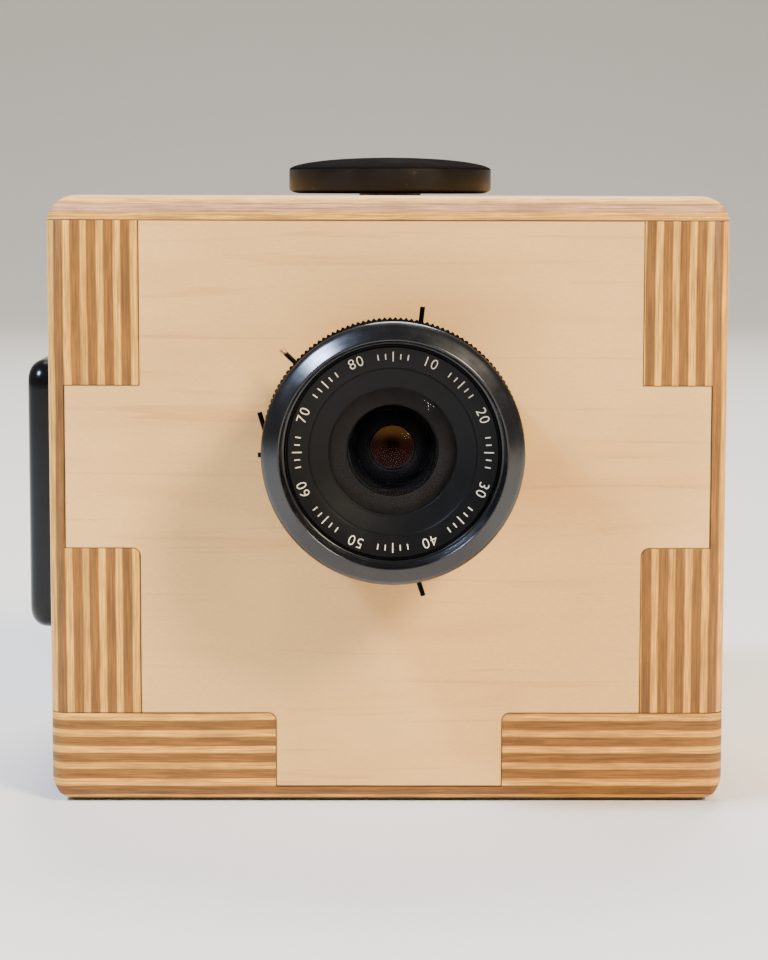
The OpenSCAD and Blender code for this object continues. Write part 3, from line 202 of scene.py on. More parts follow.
def birch_plywood(name, depth_axis, start_mm, sheet_mm, grain_axis, dark=SHEET_DARK):
    """Sheet number = floor((depth - start) / sheet thickness), and odd sheets show end grain.
    Streaks run along the cut edge, wisps along the face's grain, and a crevice gets painted shade."""
    material, tree, shader = start_material(name, Coat_Weight=0.05, Coat_Roughness=0.4)
    here = place_mm(tree)
    split = add_node(tree, "SeparateXYZ", {0: here})
    sway = ramp(tree, add_node(tree, "TexNoise", {"Vector": here, "Scale": 0.04, "Detail": 3.0}),
                0.3, 0.7, -0.07, 0.07)
    depth = add_node(tree, "Math", {0: split.outputs[depth_axis], 1: start_mm},
                     operation="SUBTRACT")
    sheets = add_node(tree, "Math", {0: depth, 1: 1 / sheet_mm, 2: sway}, operation="MULTIPLY_ADD")
    number = add_node(tree, "Math", {0: sheets}, operation="FLOOR")
    inside = add_node(tree, "Math", {0: sheets, 1: number}, operation="SUBTRACT")
    odd = add_node(tree, "Math", {0: add_node(tree, "Math", {0: number, 1: 0.5},
                                              operation="MULTIPLY")}, operation="FRACT")
    # An end-grain sheet looks a little wider, since its glue lines are as dark as it is
    off_middle = add_node(tree, "Math", {0: add_node(tree, "Math", {0: inside, 1: 0.5},
                                                     operation="SUBTRACT")}, operation="ABSOLUTE")
    is_dark = add_node(tree, "Math", {0: odd, 1: 0.25}, operation="GREATER_THAN")
    rim = ramp(tree, off_middle, 0.3, 0.47, 0.0, 0.7)
    dark_share = add_node(tree, "Math", {0: is_dark, 1: rim}, operation="MAXIMUM")
    chance = add_node(tree, "TexWhiteNoise", {"W": number}, noise_dimensions="1D")

    # Cut edge: fibres 0.2 mm apart, long blotches, a chance tone for each sheet, a glue line
    fibre = stretched(tree, here, depth_axis, 5.5, 0.09, Detail=4.0, Roughness=0.75)
    blotch = stretched(tree, here, depth_axis, 1.3, 0.2, Detail=3.0)
    plain = add_node(tree, "Mix", {"Factor": dark_share, 6: SHEET_LIGHT, 7: dark}, data_type="RGBA")
    tone = times(tree, ramp(tree, fibre, 0.38, 0.62, 0.62, 1.32),
                 ramp(tree, blotch, 0.35, 0.65, 0.86, 1.14),
                 ramp(tree, chance.outputs["Value"], 0.0, 1.0, 0.86, 1.1))
    edge = add_node(tree, "VectorMath", {0: plain.outputs[2], 3: tone}, operation="SCALE")
    line = times(tree, ramp(tree, off_middle, 0.455, 0.49, 0.0, 0.7),
                 ramp(tree, fibre, 0.4, 0.6, 0.5, 1.0))
    edge = add_node(tree, "Mix", {"Factor": line, 6: edge, 7: GLUE}, data_type="RGBA")

    # Face: broad soft figure, thin brown wisps and short fine pores, all along the grain
    figure = stretched(tree, here, grain_axis, 0.02, 0.11, Detail=3.0, Distortion=0.6)
    wisp = stretched(tree, here, grain_axis, 0.018, 0.5, Detail=3.0, Roughness=0.55, Distortion=0.7)
    pores = stretched(tree, here, grain_axis, 0.9, 5.0, Detail=2.0)
    cloud = add_node(tree, "TexNoise", {"Vector": here, "Scale": 0.03, "Detail": 2.0})
    warm = add_node(tree, "Math", {0: ramp(tree, figure, 0.45, 0.75, 0.0, 0.3),
                                   1: ramp(tree, wisp, 0.58, 0.68, 0.0, 0.34)}, operation="ADD")
    face = add_node(tree, "Mix", {"Factor": warm, 6: VENEER_PALE, 7: VENEER_WARM}, data_type="RGBA")
    shade = times(tree, ramp(tree, pores, 0.3, 0.7, 0.95, 1.04),
                  ramp(tree, cloud, 0.35, 0.65, 0.93, 1.05))
    face = add_node(tree, "VectorMath", {0: face.outputs[2], 3: shade}, operation="SCALE")

    # A surface that looks along the board's depth is a face, any other one is an edge
    facing = add_node(tree, "SeparateXYZ", {0: add_node(tree, "TexCoord").outputs["Normal"]})
    flat = add_node(tree, "Math", {0: facing.outputs[depth_axis]}, operation="ABSOLUTE")
    colour = add_node(tree, "Mix", {"Factor": ramp(tree, flat, 0.86, 0.97, 0.0, 1.0),
                                    6: edge.outputs[2], 7: face}, data_type="RGBA")
    # Painted shade: ambient occlusion darkens the colour, down to 8 %, in any crevice narrower than
    # CREVICE_MM
    crevice = add_node(tree, "AmbientOcclusion", {"Distance": CREVICE_MM * MM}, samples=8)
    dust_and_crevice_shade = ramp(tree, crevice.outputs["AO"], 0.5, 0.95, 0.08, 1.0)
    colour = add_node(tree, "VectorMath", {0: colour.outputs[2], 3: dust_and_crevice_shade}, operation="SCALE")
    tree.links.new(colour.outputs[0], shader.inputs["Base Color"])
    tree.links.new(ramp(tree, pores, 0.3, 0.7, 0.44, 0.62).outputs[0], shader.inputs["Roughness"])
    bump = add_node(tree, "Bump", {"Height": fibre, "Strength": 0.3, "Distance": 0.00006})
    tree.links.new(bump.outputs[0], shader.inputs["Normal"])
    return material


wood = {
    "front_panel": birch_plywood("birch_plywood_front", 1, y_front - SKIN, SHEET_MM, 0),
    "back_panel": birch_plywood("birch_plywood_back", 1, y_back + SKIN - BOARD_MM, SHEET_MM, 0),
    "battery_side_panel": birch_plywood("birch_plywood_battery_side", 0,
                                        span("battery_side_panel")[0][0] - SKIN, SHEET_MM, 1),
    "port_side_panel": birch_plywood("birch_plywood_port_side", 0,
                                     span("port_side_panel")[1][0] + SKIN - BOARD_MM,
                                     SHEET_MM, 1),
    "bottom_panel": birch_plywood("birch_plywood_bottom", 2, -SKIN, SHEET_MM, 0),
    "lid_panel": birch_plywood("birch_plywood_lid", 2, lid_bottom - SKIN,
                               (case_top - lid_bottom + 2 * SKIN) / LID_SHEETS, 0, LID_DARK),
}
for node, material in wood.items():
    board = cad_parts[node]
    board.data.materials.clear()
    board.data.materials.append(material)
print("boards:", ", ".join(wood))

# %% [markdown]
# Boards that meet leave a fine line, because each edge is eased a little before the glue. A Weld
# modifier joins the CAD mesh's loose triangles and a Bevel then eases the sharp edges, so the
# joints show as narrow grooves, and the plywood material paints shade into them.

# %% Ease the boards' edges
EASED_MM = 0.2


def ease_edges(node, width_mm, segments=2, least_angle=35):
    """Weld joins points closer than a hundredth of a millimetre, Decimate merges triangles that
    lie in one plane, and Bevel cuts every edge that turns by more than the least angle."""
    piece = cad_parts[node]
    weld = piece.modifiers.new("weld", "WELD")
    weld.merge_threshold = 0.00001
    flat = piece.modifiers.new("flat_faces", "DECIMATE")
    flat.decimate_type = "DISSOLVE"
    flat.angle_limit = math.radians(0.5)
    bevel = piece.modifiers.new("eased_edge", "BEVEL")
    bevel.width = width_mm * MM
    bevel.segments = segments
    bevel.limit_method = "ANGLE"
    bevel.angle_limit = math.radians(least_angle)
    bevel.use_clamp_overlap = False
    return bevel


for node in wood:
    ease_edges(node, EASED_MM)
print("eased by", EASED_MM, "mm")

# %% [markdown]
# ## Surfaces from formulas
#
# Most small parts of a camera are turned on a lathe or moulded as rounded blocks. Both are
# surfaces of two parameters, so numpy can work out all points at once: a profile that is turned
# about an axis, and a stack of rounded outlines that shrink and rise.


# %% Mesh helpers
def surface(name, points, body, materials, close_rows=False, close_columns=True, bands=None):
    """points is a grid of rows and columns. Each face joins two neighbours in a row with the two
    below, and an open side may be closed by joining its last line to its first. bands gives a
    material number for each row of faces. The result is merged, its normals look outwards, and
    it rides on body."""
    rows, columns = points.shape[:2]
    index = np.arange(rows * columns).reshape(rows, columns)
    if close_rows:
        index = np.vstack([index, index[:1]])
    if close_columns:
        index = np.hstack([index, index[:, :1]])
    quads = np.stack([index[:-1, :-1], index[:-1, 1:], index[1:, 1:], index[1:, :-1]], axis=-1)
    mesh = bpy.data.meshes.new(name)
    mesh.from_pydata((points.reshape(-1, 3) * MM).tolist(), [], quads.reshape(-1, 4).tolist())
    for material in materials:
        mesh.materials.append(material)
    if bands is not None:
        mesh.polygons.foreach_set("material_index", np.repeat(bands, quads.shape[1]))
    return finish_piece(name, mesh, body)


def finish_piece(name, mesh, body, smooth_angle=32):
    """Merges doubles, turns normals outwards, shades smooth below an angle and rides on body."""
    work = bmesh.new()
    work.from_mesh(mesh)
    bmesh.ops.remove_doubles(work, verts=work.verts, dist=1e-7)
    bmesh.ops.dissolve_degenerate(work, edges=work.edges, dist=1e-8)
    bmesh.ops.recalc_face_normals(work, faces=work.faces)
    work.to_mesh(mesh)
    work.free()
    piece = bpy.data.objects.new(name, mesh)
    bpy.context.scene.collection.objects.link(piece)
    mesh.shade_smooth()
    mesh.set_sharp_from_angle(angle=math.radians(smooth_angle))
    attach(piece, body)
    return piece


def join_meshes(name, meshes):
    """Points and faces of several meshes in one, each one's numbering moved past the last's."""
    points, faces, start = [], [], 0
    for mesh in meshes:
        co = np.zeros(len(mesh.vertices) * 3)
        mesh.vertices.foreach_get("co", co)
        corners = np.zeros(len(mesh.loops), dtype=np.int32)
        mesh.loops.foreach_get("vertex_index", corners)
        first = np.zeros(len(mesh.polygons), dtype=np.int32)
        mesh.polygons.foreach_get("loop_start", first)
        points.append(co.reshape(-1, 3))
        faces += [face.tolist() for face in np.split(start + corners, first[1:])]
        start += len(mesh.vertices)
    whole = bpy.data.meshes.new(name)
    whole.from_pydata(np.concatenate(points).tolist(), [], faces)
    return whole


def soften(path, reach, steps=5):
    """Rounds each corner of a closed path. Near a corner the path follows the curve
    (1-t)^2 before + 2t(1-t) corner + t^2 after, which starts and ends at most reach away."""
    path = np.array(path, float)
    before, after = np.roll(path, 1, axis=0) - path, np.roll(path, -1, axis=0) - path
    size_b = np.linalg.norm(before, axis=1, keepdims=True)
    size_a = np.linalg.norm(after, axis=1, keepdims=True)
    start = path + before / size_b * np.minimum(reach, size_b * 0.45)
    end = path + after / size_a * np.minimum(reach, size_a * 0.45)
    t = np.linspace(0, 1, steps)[None, :, None]
    curve = (1 - t) ** 2 * start[:, None] + 2 * t * (1 - t) * path[:, None] + t ** 2 * end[:, None]
    return curve.reshape(-1, 2)


def turned(profile, count, centre, axis):
    """A profile of (radius, distance along the axis) is turned: point = centre + axis * distance
    + radius * (cos a, sin a) in the plane across the axis."""
    angle = np.linspace(0, 2 * np.pi, count, endpoint=False)
    profile = np.array(profile, float)
    side = [i for i in range(3) if i != axis[0]]
    points = np.zeros((len(profile), count, 3)) + np.array(centre)
    points[:, :, side[0]] += profile[:, :1] * np.cos(angle)
    points[:, :, side[1]] += profile[:, :1] * np.sin(angle)
    points[:, :, axis[0]] += axis[1] * profile[:, 1:]
    return points


def outline(half_w, half_h, corner, count):
    """A rectangle with round corners, its points evenly spaced around it: an arc is drawn at
    each corner, and the whole path is divided again by its own length."""
    corner = max(min(corner, half_w, half_h), 1e-6)
    angle = np.linspace(0, np.pi / 2, 9)
    arcs = []
    for quarter, (sx, sy) in enumerate([(1, 1), (-1, 1), (-1, -1), (1, -1)]):
        a = angle + quarter * np.pi / 2
        arcs.append(np.stack([sx * (half_w - corner) + corner * np.cos(a),
                              sy * (half_h - corner) + corner * np.sin(a)], axis=1))
    path = np.concatenate(arcs)
    path = np.concatenate([[(half_w, 0.0)], path, [(half_w, 0.0)]])
    length = np.concatenate([[0], np.cumsum(np.linalg.norm(np.diff(path, axis=0), axis=1))])
    even = np.linspace(0, length[-1], count, endpoint=False)
    return np.stack([np.interp(even, length, path[:, i]) for i in (0, 1)], axis=1)


def stacked(half_w, half_h, corner, rows, count):
    """Rounded outlines, each drawn in by its inset and lifted to its height. rows holds
    (inset, height), and the columns run around the outline."""
    loops = []
    for inset, height in rows:
        loop = outline(max(half_w - inset, 0), max(half_h - inset, 0), corner - inset, count)
        loops.append(np.hstack([loop, np.full((count, 1), height)]))
    return np.array(loops)


print("mesh helpers are ready")

# %% [markdown]
# ## Black metal of the lens
#
# The lens is turned from aluminium and anodised black. Anodising leaves a hard matt skin that
# dulls a highlight into a broad soft glow, and turning leaves rings too fine to see one by one.
# The bezel is brighter because it has been handled, so its material is smoother than the rest.


# %% Metal and plastic finishes
def plain_finish(name, colour, second, grain_mm, roughness, spread=0.08, metallic=0.0, bump=0.0,
                 **sockets):
    """Two colours mixed by noise whose grains are grain_mm wide. The same noise moves the
    roughness by spread, and bump is how deep it is, in millimetres."""
    material, tree, shader = start_material(name, Metallic=metallic, **sockets)
    here = place_mm(tree)
    noise = add_node(tree, "TexNoise", {"Vector": here, "Scale": 1 / grain_mm, "Detail": 4.0,
                                        "Roughness": 0.6})
    mixed = add_node(tree, "Mix", {"Factor": noise, 6: linear(colour), 7: linear(second)},
                     data_type="RGBA")
    tree.links.new(mixed.outputs[2], shader.inputs["Base Color"])
    rough = add_node(tree, "MapRange", {"Value": noise, "From Min": 0.3, "From Max": 0.7,
                                        "To Min": roughness - spread, "To Max": roughness + spread})
    tree.links.new(rough.outputs[0], shader.inputs["Roughness"])
    if bump:
        dents = add_node(tree, "Bump", {"Height": noise, "Strength": 0.6, "Distance": bump * MM})
        tree.links.new(dents.outputs[0], shader.inputs["Normal"])
    return material


def turned_finish(name, colour, second, roughness, metallic, ring_mm, axis_z, **sockets):
    """Noise that depends only on the distance from the lens axis and the place along it, so it
    makes rings, as a lathe tool does. ring_mm is their spacing, drawn as coarse as it can show."""
    material, tree, shader = start_material(name, Metallic=metallic, **sockets)
    here = add_node(tree, "SeparateXYZ", {0: place_mm(tree)})
    height = add_node(tree, "Math", {0: here.outputs[2], 1: axis_z}, operation="SUBTRACT")
    squares = add_node(tree, "CombineXYZ", {0: here.outputs[0], 1: height})
    radius = add_node(tree, "VectorMath", {0: squares}, operation="LENGTH")
    rings_at = add_node(tree, "CombineXYZ", {0: radius.outputs["Value"], 1: here.outputs[1]})
    rings = add_node(tree, "TexNoise", {"Vector": rings_at, "Scale": 1 / ring_mm, "Detail": 3.0})
    dust_and_crevice_shade = add_node(tree, "TexNoise", {"Vector": place_mm(tree), "Scale": 0.35, "Detail": 3.0})
    mixed = add_node(tree, "Mix", {"Factor": dust_and_crevice_shade, 6: linear(colour), 7: linear(second)},
                     data_type="RGBA")
    tree.links.new(mixed.outputs[2], shader.inputs["Base Color"])
    both = add_node(tree, "Math", {0: rings, 1: dust_and_crevice_shade}, operation="ADD")
    rough = add_node(tree, "MapRange", {"Value": both, "From Min": 0.7, "From Max": 1.3,
                                        "To Min": roughness - 0.05, "To Max": roughness + 0.07})
    tree.links.new(rough.outputs[0], shader.inputs["Roughness"])
    groove = add_node(tree, "Bump", {"Height": rings, "Strength": 0.35, "Distance": 0.00001})
    tree.links.new(groove.outputs[0], shader.inputs["Normal"])
    return material


# Satin anodised aluminium: a dark smooth skin over bright metal, so the glow is cool and broad.
# The matt one is blasted first and only glows dimly. The knurled one is broken up by ridges too
# fine to draw, so it shows no mirror at all, and the paint inside the lens gives almost nothing
# back. Brushed steel and clear anodised metal are bright but never sharp, and brass is warm.
satin_black = turned_finish("black_anodised_aluminium_satin", "#040405", "#09090C", 0.23, 0.0,
                            0.25, lens_z, Specular_IOR_Level=0.6)
matt_black = turned_finish("black_anodised_aluminium_matt", "#040404", "#080809", 0.42, 0.0,
                           0.2, lens_z, Specular_IOR_Level=0.15)
knurled_black = turned_finish("black_anodised_aluminium_knurled", "#0E0E0F", "#171718", 0.62,
                              0.0, 0.2, lens_z, Specular_IOR_Level=0.0)
deep_black = turned_finish("black_lens_interior_paint", "#010101", "#020202", 0.55, 0.0,
                           0.3, lens_z, Specular_IOR_Level=0.12)
bright_steel = plain_finish("stainless_steel_brushed", "#B9BBBE", "#A2A5A9", 0.35, 0.30, 0.06, 1.0)
dark_steel = plain_finish("blackened_steel", "#2B2B2D", "#1B1B1C", 0.4, 0.38, 0.08, 1.0)
clear_aluminium = plain_finish("clear_anodised_aluminium", "#C4C7CB", "#AEB2B7", 0.3, 0.36, 0.06,
                               1.0, bump=0.003)
brass = plain_finish("brass_machined", "#C8A257", "#A9823C", 0.5, 0.26, 0.07, 1.0)
print("metal finishes made")

# %% [markdown]
# The bezel is the widest ring of the lens. Its front slopes back like a shallow cone, its inside
# carries the fine thread for a filter, and a thin lip that catches the light stands between the
# two. All of it is one profile turned about the lens axis. Distances are behind the front lip.

# %% Front bezel
LENS_AXIS = (1, 1)
lens_centre = (0.0, lip_y, lens_z)
bezel_r = (bezel_high[0] - bezel_low[0]) / 2
bezel_len = bezel_high[1] - bezel_low[1]
FILTER_R, FILTER_LEN = 17.5, 4.4
THREAD_PITCH, THREAD_DEPTH, THREAD_FROM = 0.5, 0.22, 0.45

turns = int((FILTER_LEN - 2 * THREAD_FROM) / THREAD_PITCH)
thread_u = THREAD_FROM + np.arange(2 * turns + 1) * THREAD_PITCH / 2
thread_r = FILTER_R - THREAD_DEPTH * (np.arange(2 * turns + 1) % 2)
CORNER_STEPS, SIDE_FROM, SIDE_TO = 5, 5, 7
tube_r = span("inner_tube")[1][0] + 0.05
bezel_path = [(FILTER_R, 0.28), (FILTER_R + 0.16, 0.0), (FILTER_R + 0.42, 0.0),
              (FILTER_R + 0.62, 0.16), (bezel_r - 0.55, 1.5), (bezel_r, 2.25),
              (bezel_r, bezel_len - 0.3), (bezel_r - 0.3, bezel_len),
              (tube_r, bezel_len), (tube_r, FILTER_LEN + 1.0),
              (FILTER_R - 0.6, FILTER_LEN + 1.0), (FILTER_R - 0.6, FILTER_LEN),
              (FILTER_R, FILTER_LEN)]
bezel_path = np.concatenate([soften(bezel_path, 0.3, CORNER_STEPS),
                             np.stack([thread_r, thread_u], axis=1)[::-1]])
# The upright side, between two corners of the profile, has the dull finish that fingers hold
bezel_bands = np.zeros(len(bezel_path), dtype=np.int32)
bezel_bands[SIDE_FROM * CORNER_STEPS + 2:SIDE_TO * CORNER_STEPS + 3] = 1
bezel = surface("front_bezel_turned", turned(bezel_path, 240, lens_centre, LENS_AXIS), "optics",
                [satin_black, knurled_black], close_rows=True, bands=bezel_bands)
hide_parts("front_bezel")
print("bezel radius", round(bezel_r, 2), "mm,", turns, "thread turns,",
      len(bezel.data.polygons), "faces")

# %% [markdown]
# Inside the thread lies the scale ring. It is a shallow cone that faces the axis a little, with a
# groove at its outer edge and a steeper black funnel down to the glass. Its marks are plain: even
# ticks and round numbers, painted white.

# %% Scale ring
RING_OUT, RING_IN, GLASS_IN, RIM_IN = 16.45, 13.1, 10.0, FILTER_R - 0.66
CONE_RISE, CONE_DROP = 0.2, 0.75
ring_path = [(RIM_IN, FILTER_LEN + 0.02), (RING_OUT + 0.12, FILTER_LEN + 0.02),
             (RING_OUT + 0.1, FILTER_LEN + 0.3), (RING_OUT + 0.02, FILTER_LEN + 0.3),
             (RING_OUT, FILTER_LEN - CONE_RISE),
             (RING_IN + 0.05, FILTER_LEN - CONE_RISE + CONE_DROP),
             (RING_IN, FILTER_LEN + 0.85), (RING_IN - 0.25, FILTER_LEN + 0.85),
             (GLASS_IN + 0.3, FILTER_LEN + 1.7), (GLASS_IN, FILTER_LEN + 1.75),
             (GLASS_IN, FILTER_LEN + 2.05), (RING_IN + 0.35, FILTER_LEN + 2.1),
             (RING_IN + 0.35, FILTER_LEN + 1.0), (RIM_IN, FILTER_LEN + 1.0)]
ring = surface("scale_ring_turned", turned(soften(ring_path, 0.12), 240, lens_centre, LENS_AXIS),
               "optics", [matt_black], close_rows=True)
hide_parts("scale_ring")


def ring_depth(radius):
    """Depth of the conical band behind the lip: it grows evenly from the outer edge inwards."""
    share = (RING_OUT - radius) / (RING_OUT - RING_IN)
    return FILTER_LEN - CONE_RISE + CONE_DROP * share


print("scale ring slopes by", round(ring_depth(RING_IN) - ring_depth(RING_OUT), 2), "mm")

# %% Ticks and numbers on the scale ring
marks_white = plain_finish("enamel_paint_white", "#EFE3C4", "#DDD2B6", 0.2, 0.5)
PAINT_MM = 0.03


def word_mesh(text, height_mm, stroke_change=0.0):
    """A word in the built-in typeface, centred, as a mesh in the flat plane in millimetres.
    Its outline moves in or out by stroke_change, which thins or thickens the strokes."""
    curve = bpy.data.curves.new("word", "FONT")
    curve.body = text
    curve.size = height_mm / 0.7
    curve.align_x, curve.align_y = "CENTER", "CENTER"
    curve.offset = stroke_change
    curve.extrude = PAINT_MM / 2
    curve.space_character = 1.15
    holder = bpy.data.objects.new("word", curve)
    bpy.context.scene.collection.objects.link(holder)
    bpy.context.view_layer.update()
    mesh = bpy.data.meshes.new_from_object(holder.evaluated_get(
        bpy.context.evaluated_depsgraph_get()))
    bpy.data.objects.remove(holder)
    return mesh


def wrap_on_ring(mesh, angle, radius):
    """Bends flat marks onto the cone: across the word becomes an angle, up the word becomes
    distance from the axis, and the thickness stands off the cone's surface."""
    co = np.zeros(len(mesh.vertices) * 3)
    mesh.vertices.foreach_get("co", co)
    x, y, z = co.reshape(-1, 3).T
    r = radius + y
    a = angle - x / radius
    depth = ring_depth(r) - z
    out = np.stack([r * np.cos(a), lip_y + depth, lens_z + r * np.sin(a)], axis=1) * MM
    mesh.vertices.foreach_set("co", out.ravel())
    return mesh


def tick_mesh(width, height):
    """A flat bar, centred, as six faces."""
    x, y, z = width / 2, height / 2, PAINT_MM / 2
    corners = [(sx * x, sy * y, sz * z) for sx in (-1, 1) for sy in (-1, 1) for sz in (-1, 1)]
    mesh = bpy.data.meshes.new("tick")
    mesh.from_pydata(corners, [], [(0, 1, 3, 2), (4, 6, 7, 5), (0, 4, 5, 1), (2, 3, 7, 6),
                                   (0, 2, 6, 4), (1, 5, 7, 3)])
    return mesh


NUMBERS = ("10", "20", "30", "40", "50", "60", "70", "80")
NUMBER_R, NUMBER_MM, THINNER = 15.05, 1.6, -0.03
TICK_R, TICK_WIDE, TICK_LONG, TICK_SHORT = 14.95, 0.16, 1.5, 0.85
FIRST_AT, NUMBER_STEP, TICK_STEP = 67.5, 45.0, 4.5
marks = []
for place, text in enumerate(NUMBERS):
    number_at = math.radians(FIRST_AT - NUMBER_STEP * place)
    marks.append(wrap_on_ring(word_mesh(text, NUMBER_MM, THINNER), number_at, NUMBER_R))
    for step in (-2, -1, 0, 1, 2):
        tall = TICK_LONG if step == 0 else TICK_SHORT
        tick_at = number_at - math.radians(NUMBER_STEP / 2 + TICK_STEP * step)
        marks.append(wrap_on_ring(tick_mesh(TICK_WIDE, tall), tick_at, TICK_R))
scale_marks = finish_piece("scale_marks", join_meshes("scale_marks", marks), "optics")
scale_marks.data.materials.append(marks_white)
print(len(NUMBERS), "numbers and", len(marks) - len(NUMBERS), "ticks")

# %% [markdown]
# ## Glass
#
# The front glass is a thick meniscus: a gently bulging front and a deep hollow behind, with its
# ground edge painted black. Real glass with its thickness bends the view of the iris as it should.
# The coatings let almost no light bounce off, so the mirror image of the room is tinted very dark.


# %% Glass finishes
def coated_glass(name, tint, second, ior, mirror_tint):
    """Clear glass whose coating weakens and colours the mirror image of the room."""
    material, tree, shader = start_material(name, Transmission_Weight=1.0, IOR=ior, Roughness=0.0,
                                            Specular_Tint=linear(mirror_tint))
    noise = add_node(tree, "TexNoise", {"Vector": place_mm(tree), "Scale": 0.4, "Detail": 2.0})
    tone = add_node(tree, "Mix", {"Factor": noise, 6: linear(tint), 7: linear(second)},
                    data_type="RGBA")
    tree.links.new(tone.outputs[2], shader.inputs["Base Color"])
    return material


front_coated = coated_glass("optical_glass_front_coated", "#E9E2D8", "#DAD0C6", 1.5, "#30364A")


# The ghost is a painted reflection: an emission glow on the rear glass, amber above the lens axis
# and brown around it
GHOST_FROM, GHOST_AROUND, GHOST_ABOVE, GHOST_STRENGTH = 0.6, 3.4, 4.4, 0.16


def rear_glass():
    """The rear glasses' warm coatings throw back a ghost of the bright room: amber above the axis,
    a dim reddish brown around it and nothing on it. The ghost is a painted reflection here: a faint
    emission glow in the glass, not a mirror image. It grows with the distance from the axis, and
    turns amber with the height above the axis."""
    material = coated_glass("optical_glass_rear_coated_painted_ghost", "#7A4018", "#5C2A12", 1.6, "#5A3016")
    tree = material.node_tree
    here = add_node(tree, "SeparateXYZ", {0: place_mm(tree)})
    height = add_node(tree, "Math", {0: here.outputs[2], 1: lens_z}, operation="SUBTRACT")
    flat = add_node(tree, "CombineXYZ", {0: here.outputs[0], 1: height})
    away = add_node(tree, "VectorMath", {0: flat}, operation="LENGTH")
    around = ramp(tree, away.outputs["Value"], GHOST_FROM, GHOST_AROUND, 0.0, 1.0)
    above_axis = ramp(tree, height, GHOST_FROM, GHOST_ABOVE, 0.0, 1.0)
    glow = add_node(tree, "Mix", {"Factor": above_axis, 6: linear("#54362E"),
                                  7: linear("#B08A4C")}, data_type="RGBA")
    glow = add_node(tree, "VectorMath", {0: glow.outputs[2], 3: around}, operation="SCALE")
    shader = tree.nodes["Principled BSDF"]
    # Painted reflection: the ghost is emitted light, not a reflection of the room
    tree.links.new(glow.outputs[0], shader.inputs["Emission Color"])
    shader.inputs["Emission Strength"].default_value = GHOST_STRENGTH
    return material


rear_glass_painted_ghost = rear_glass()
edge_paint = plain_finish("glass_edge_paint_black", "#040405", "#0A0A0C", 0.6, 0.6)

GLASS_R, BALL_FRONT, BALL_BACK, HOLLOW_R = 10.8, 22.0, 8.6, 6.8
APEX_U = FILTER_LEN + 0.1
BACK_U = FILTER_LEN + 5.2
EDGE_CUT = 0.15
front_r = np.linspace(0, GLASS_R, 40)
front_u = APEX_U + BALL_FRONT - np.sqrt(BALL_FRONT ** 2 - front_r ** 2)
hollow_r = np.linspace(HOLLOW_R, 0, 30)
hollow_u = (BACK_U + math.sqrt(BALL_BACK ** 2 - HOLLOW_R ** 2)
            - np.sqrt(BALL_BACK ** 2 - hollow_r ** 2))
glass_path = np.concatenate([np.stack([front_r, front_u], axis=1),
                             [(GLASS_R, BACK_U - EDGE_CUT), (GLASS_R - EDGE_CUT, BACK_U)],
                             np.stack([hollow_r, hollow_u], axis=1)])
glass_bands = np.zeros(len(glass_path) - 1, dtype=np.int32)
glass_bands[len(front_r) - 1:len(front_r) + 2] = 1
glass = surface("front_glass", turned(glass_path, 160, lens_centre, LENS_AXIS), "optics",
                [front_coated, edge_paint], bands=glass_bands)
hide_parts("front_element")
print("front glass has", len(glass.data.polygons), "faces, thickness at the axis",
      round(hollow_u[-1] - APEX_U, 2), "mm")

# %% [markdown]
# ## Control dial
#
# The dial is a low button of dark plastic with an upright side and a softly domed top. It is one
# turned profile, and its top has a shallow finger dimple, so the height there is the dome less a
# bell-shaped dip. The side keeps the sheen of the mould, the top is rubbed dull, and both hold
# brown specks of wood dust.

# %% Dial
dial_low, dial_high = span("dial_knob")
dial_r = (dial_high[0] - dial_low[0]) / 2
dial_axis = middle("dial_knob")
DIAL_SIDE, DIAL_DOME, DIAL_FOOT, FOOT_IN, ROOF_MM = 3.3, 2.2, 0.8, 2.2, 1.4
RECESS_R, RECESS_H, SHAFT_R = 7.0, 3.7, 3.03


def dial_material(name, roughness, gloss):
    """Dark moulded plastic. Specks are the rare peaks of a fine noise, as dust caught in the
    grain of the mould. The side is smooth from the mould, and the top is rubbed dull."""
    material, tree, shader = start_material(name, Specular_IOR_Level=gloss)
    here = place_mm(tree)
    cloud = add_node(tree, "TexNoise", {"Vector": here, "Scale": 0.25, "Detail": 3.0})
    base = add_node(tree, "Mix", {"Factor": cloud, 6: linear("#0B0908"), 7: linear("#14100E")},
                    data_type="RGBA")
    fine = add_node(tree, "TexNoise", {"Vector": here, "Scale": 0.9, "Detail": 2.0})
    speck = add_node(tree, "MapRange", {"Value": fine, "From Min": 0.71, "From Max": 0.78,
                                        "To Min": 0.0, "To Max": 0.5})
    mixed = add_node(tree, "Mix", {"Factor": speck, 6: base.outputs[2], 7: linear("#553C26")},
                     data_type="RGBA")
    tree.links.new(mixed.outputs[2], shader.inputs["Base Color"])
    rough = ramp(tree, cloud, 0.3, 0.7, roughness - 0.07, roughness + 0.07)
    tree.links.new(rough.outputs[0], shader.inputs["Roughness"])
    mould = add_node(tree, "TexNoise", {"Vector": here, "Scale": 6.0, "Detail": 2.0})
    bump = add_node(tree, "Bump", {"Height": mould, "Strength": 0.3, "Distance": 0.00002})
    tree.links.new(bump.outputs[0], shader.inputs["Normal"])
    return material


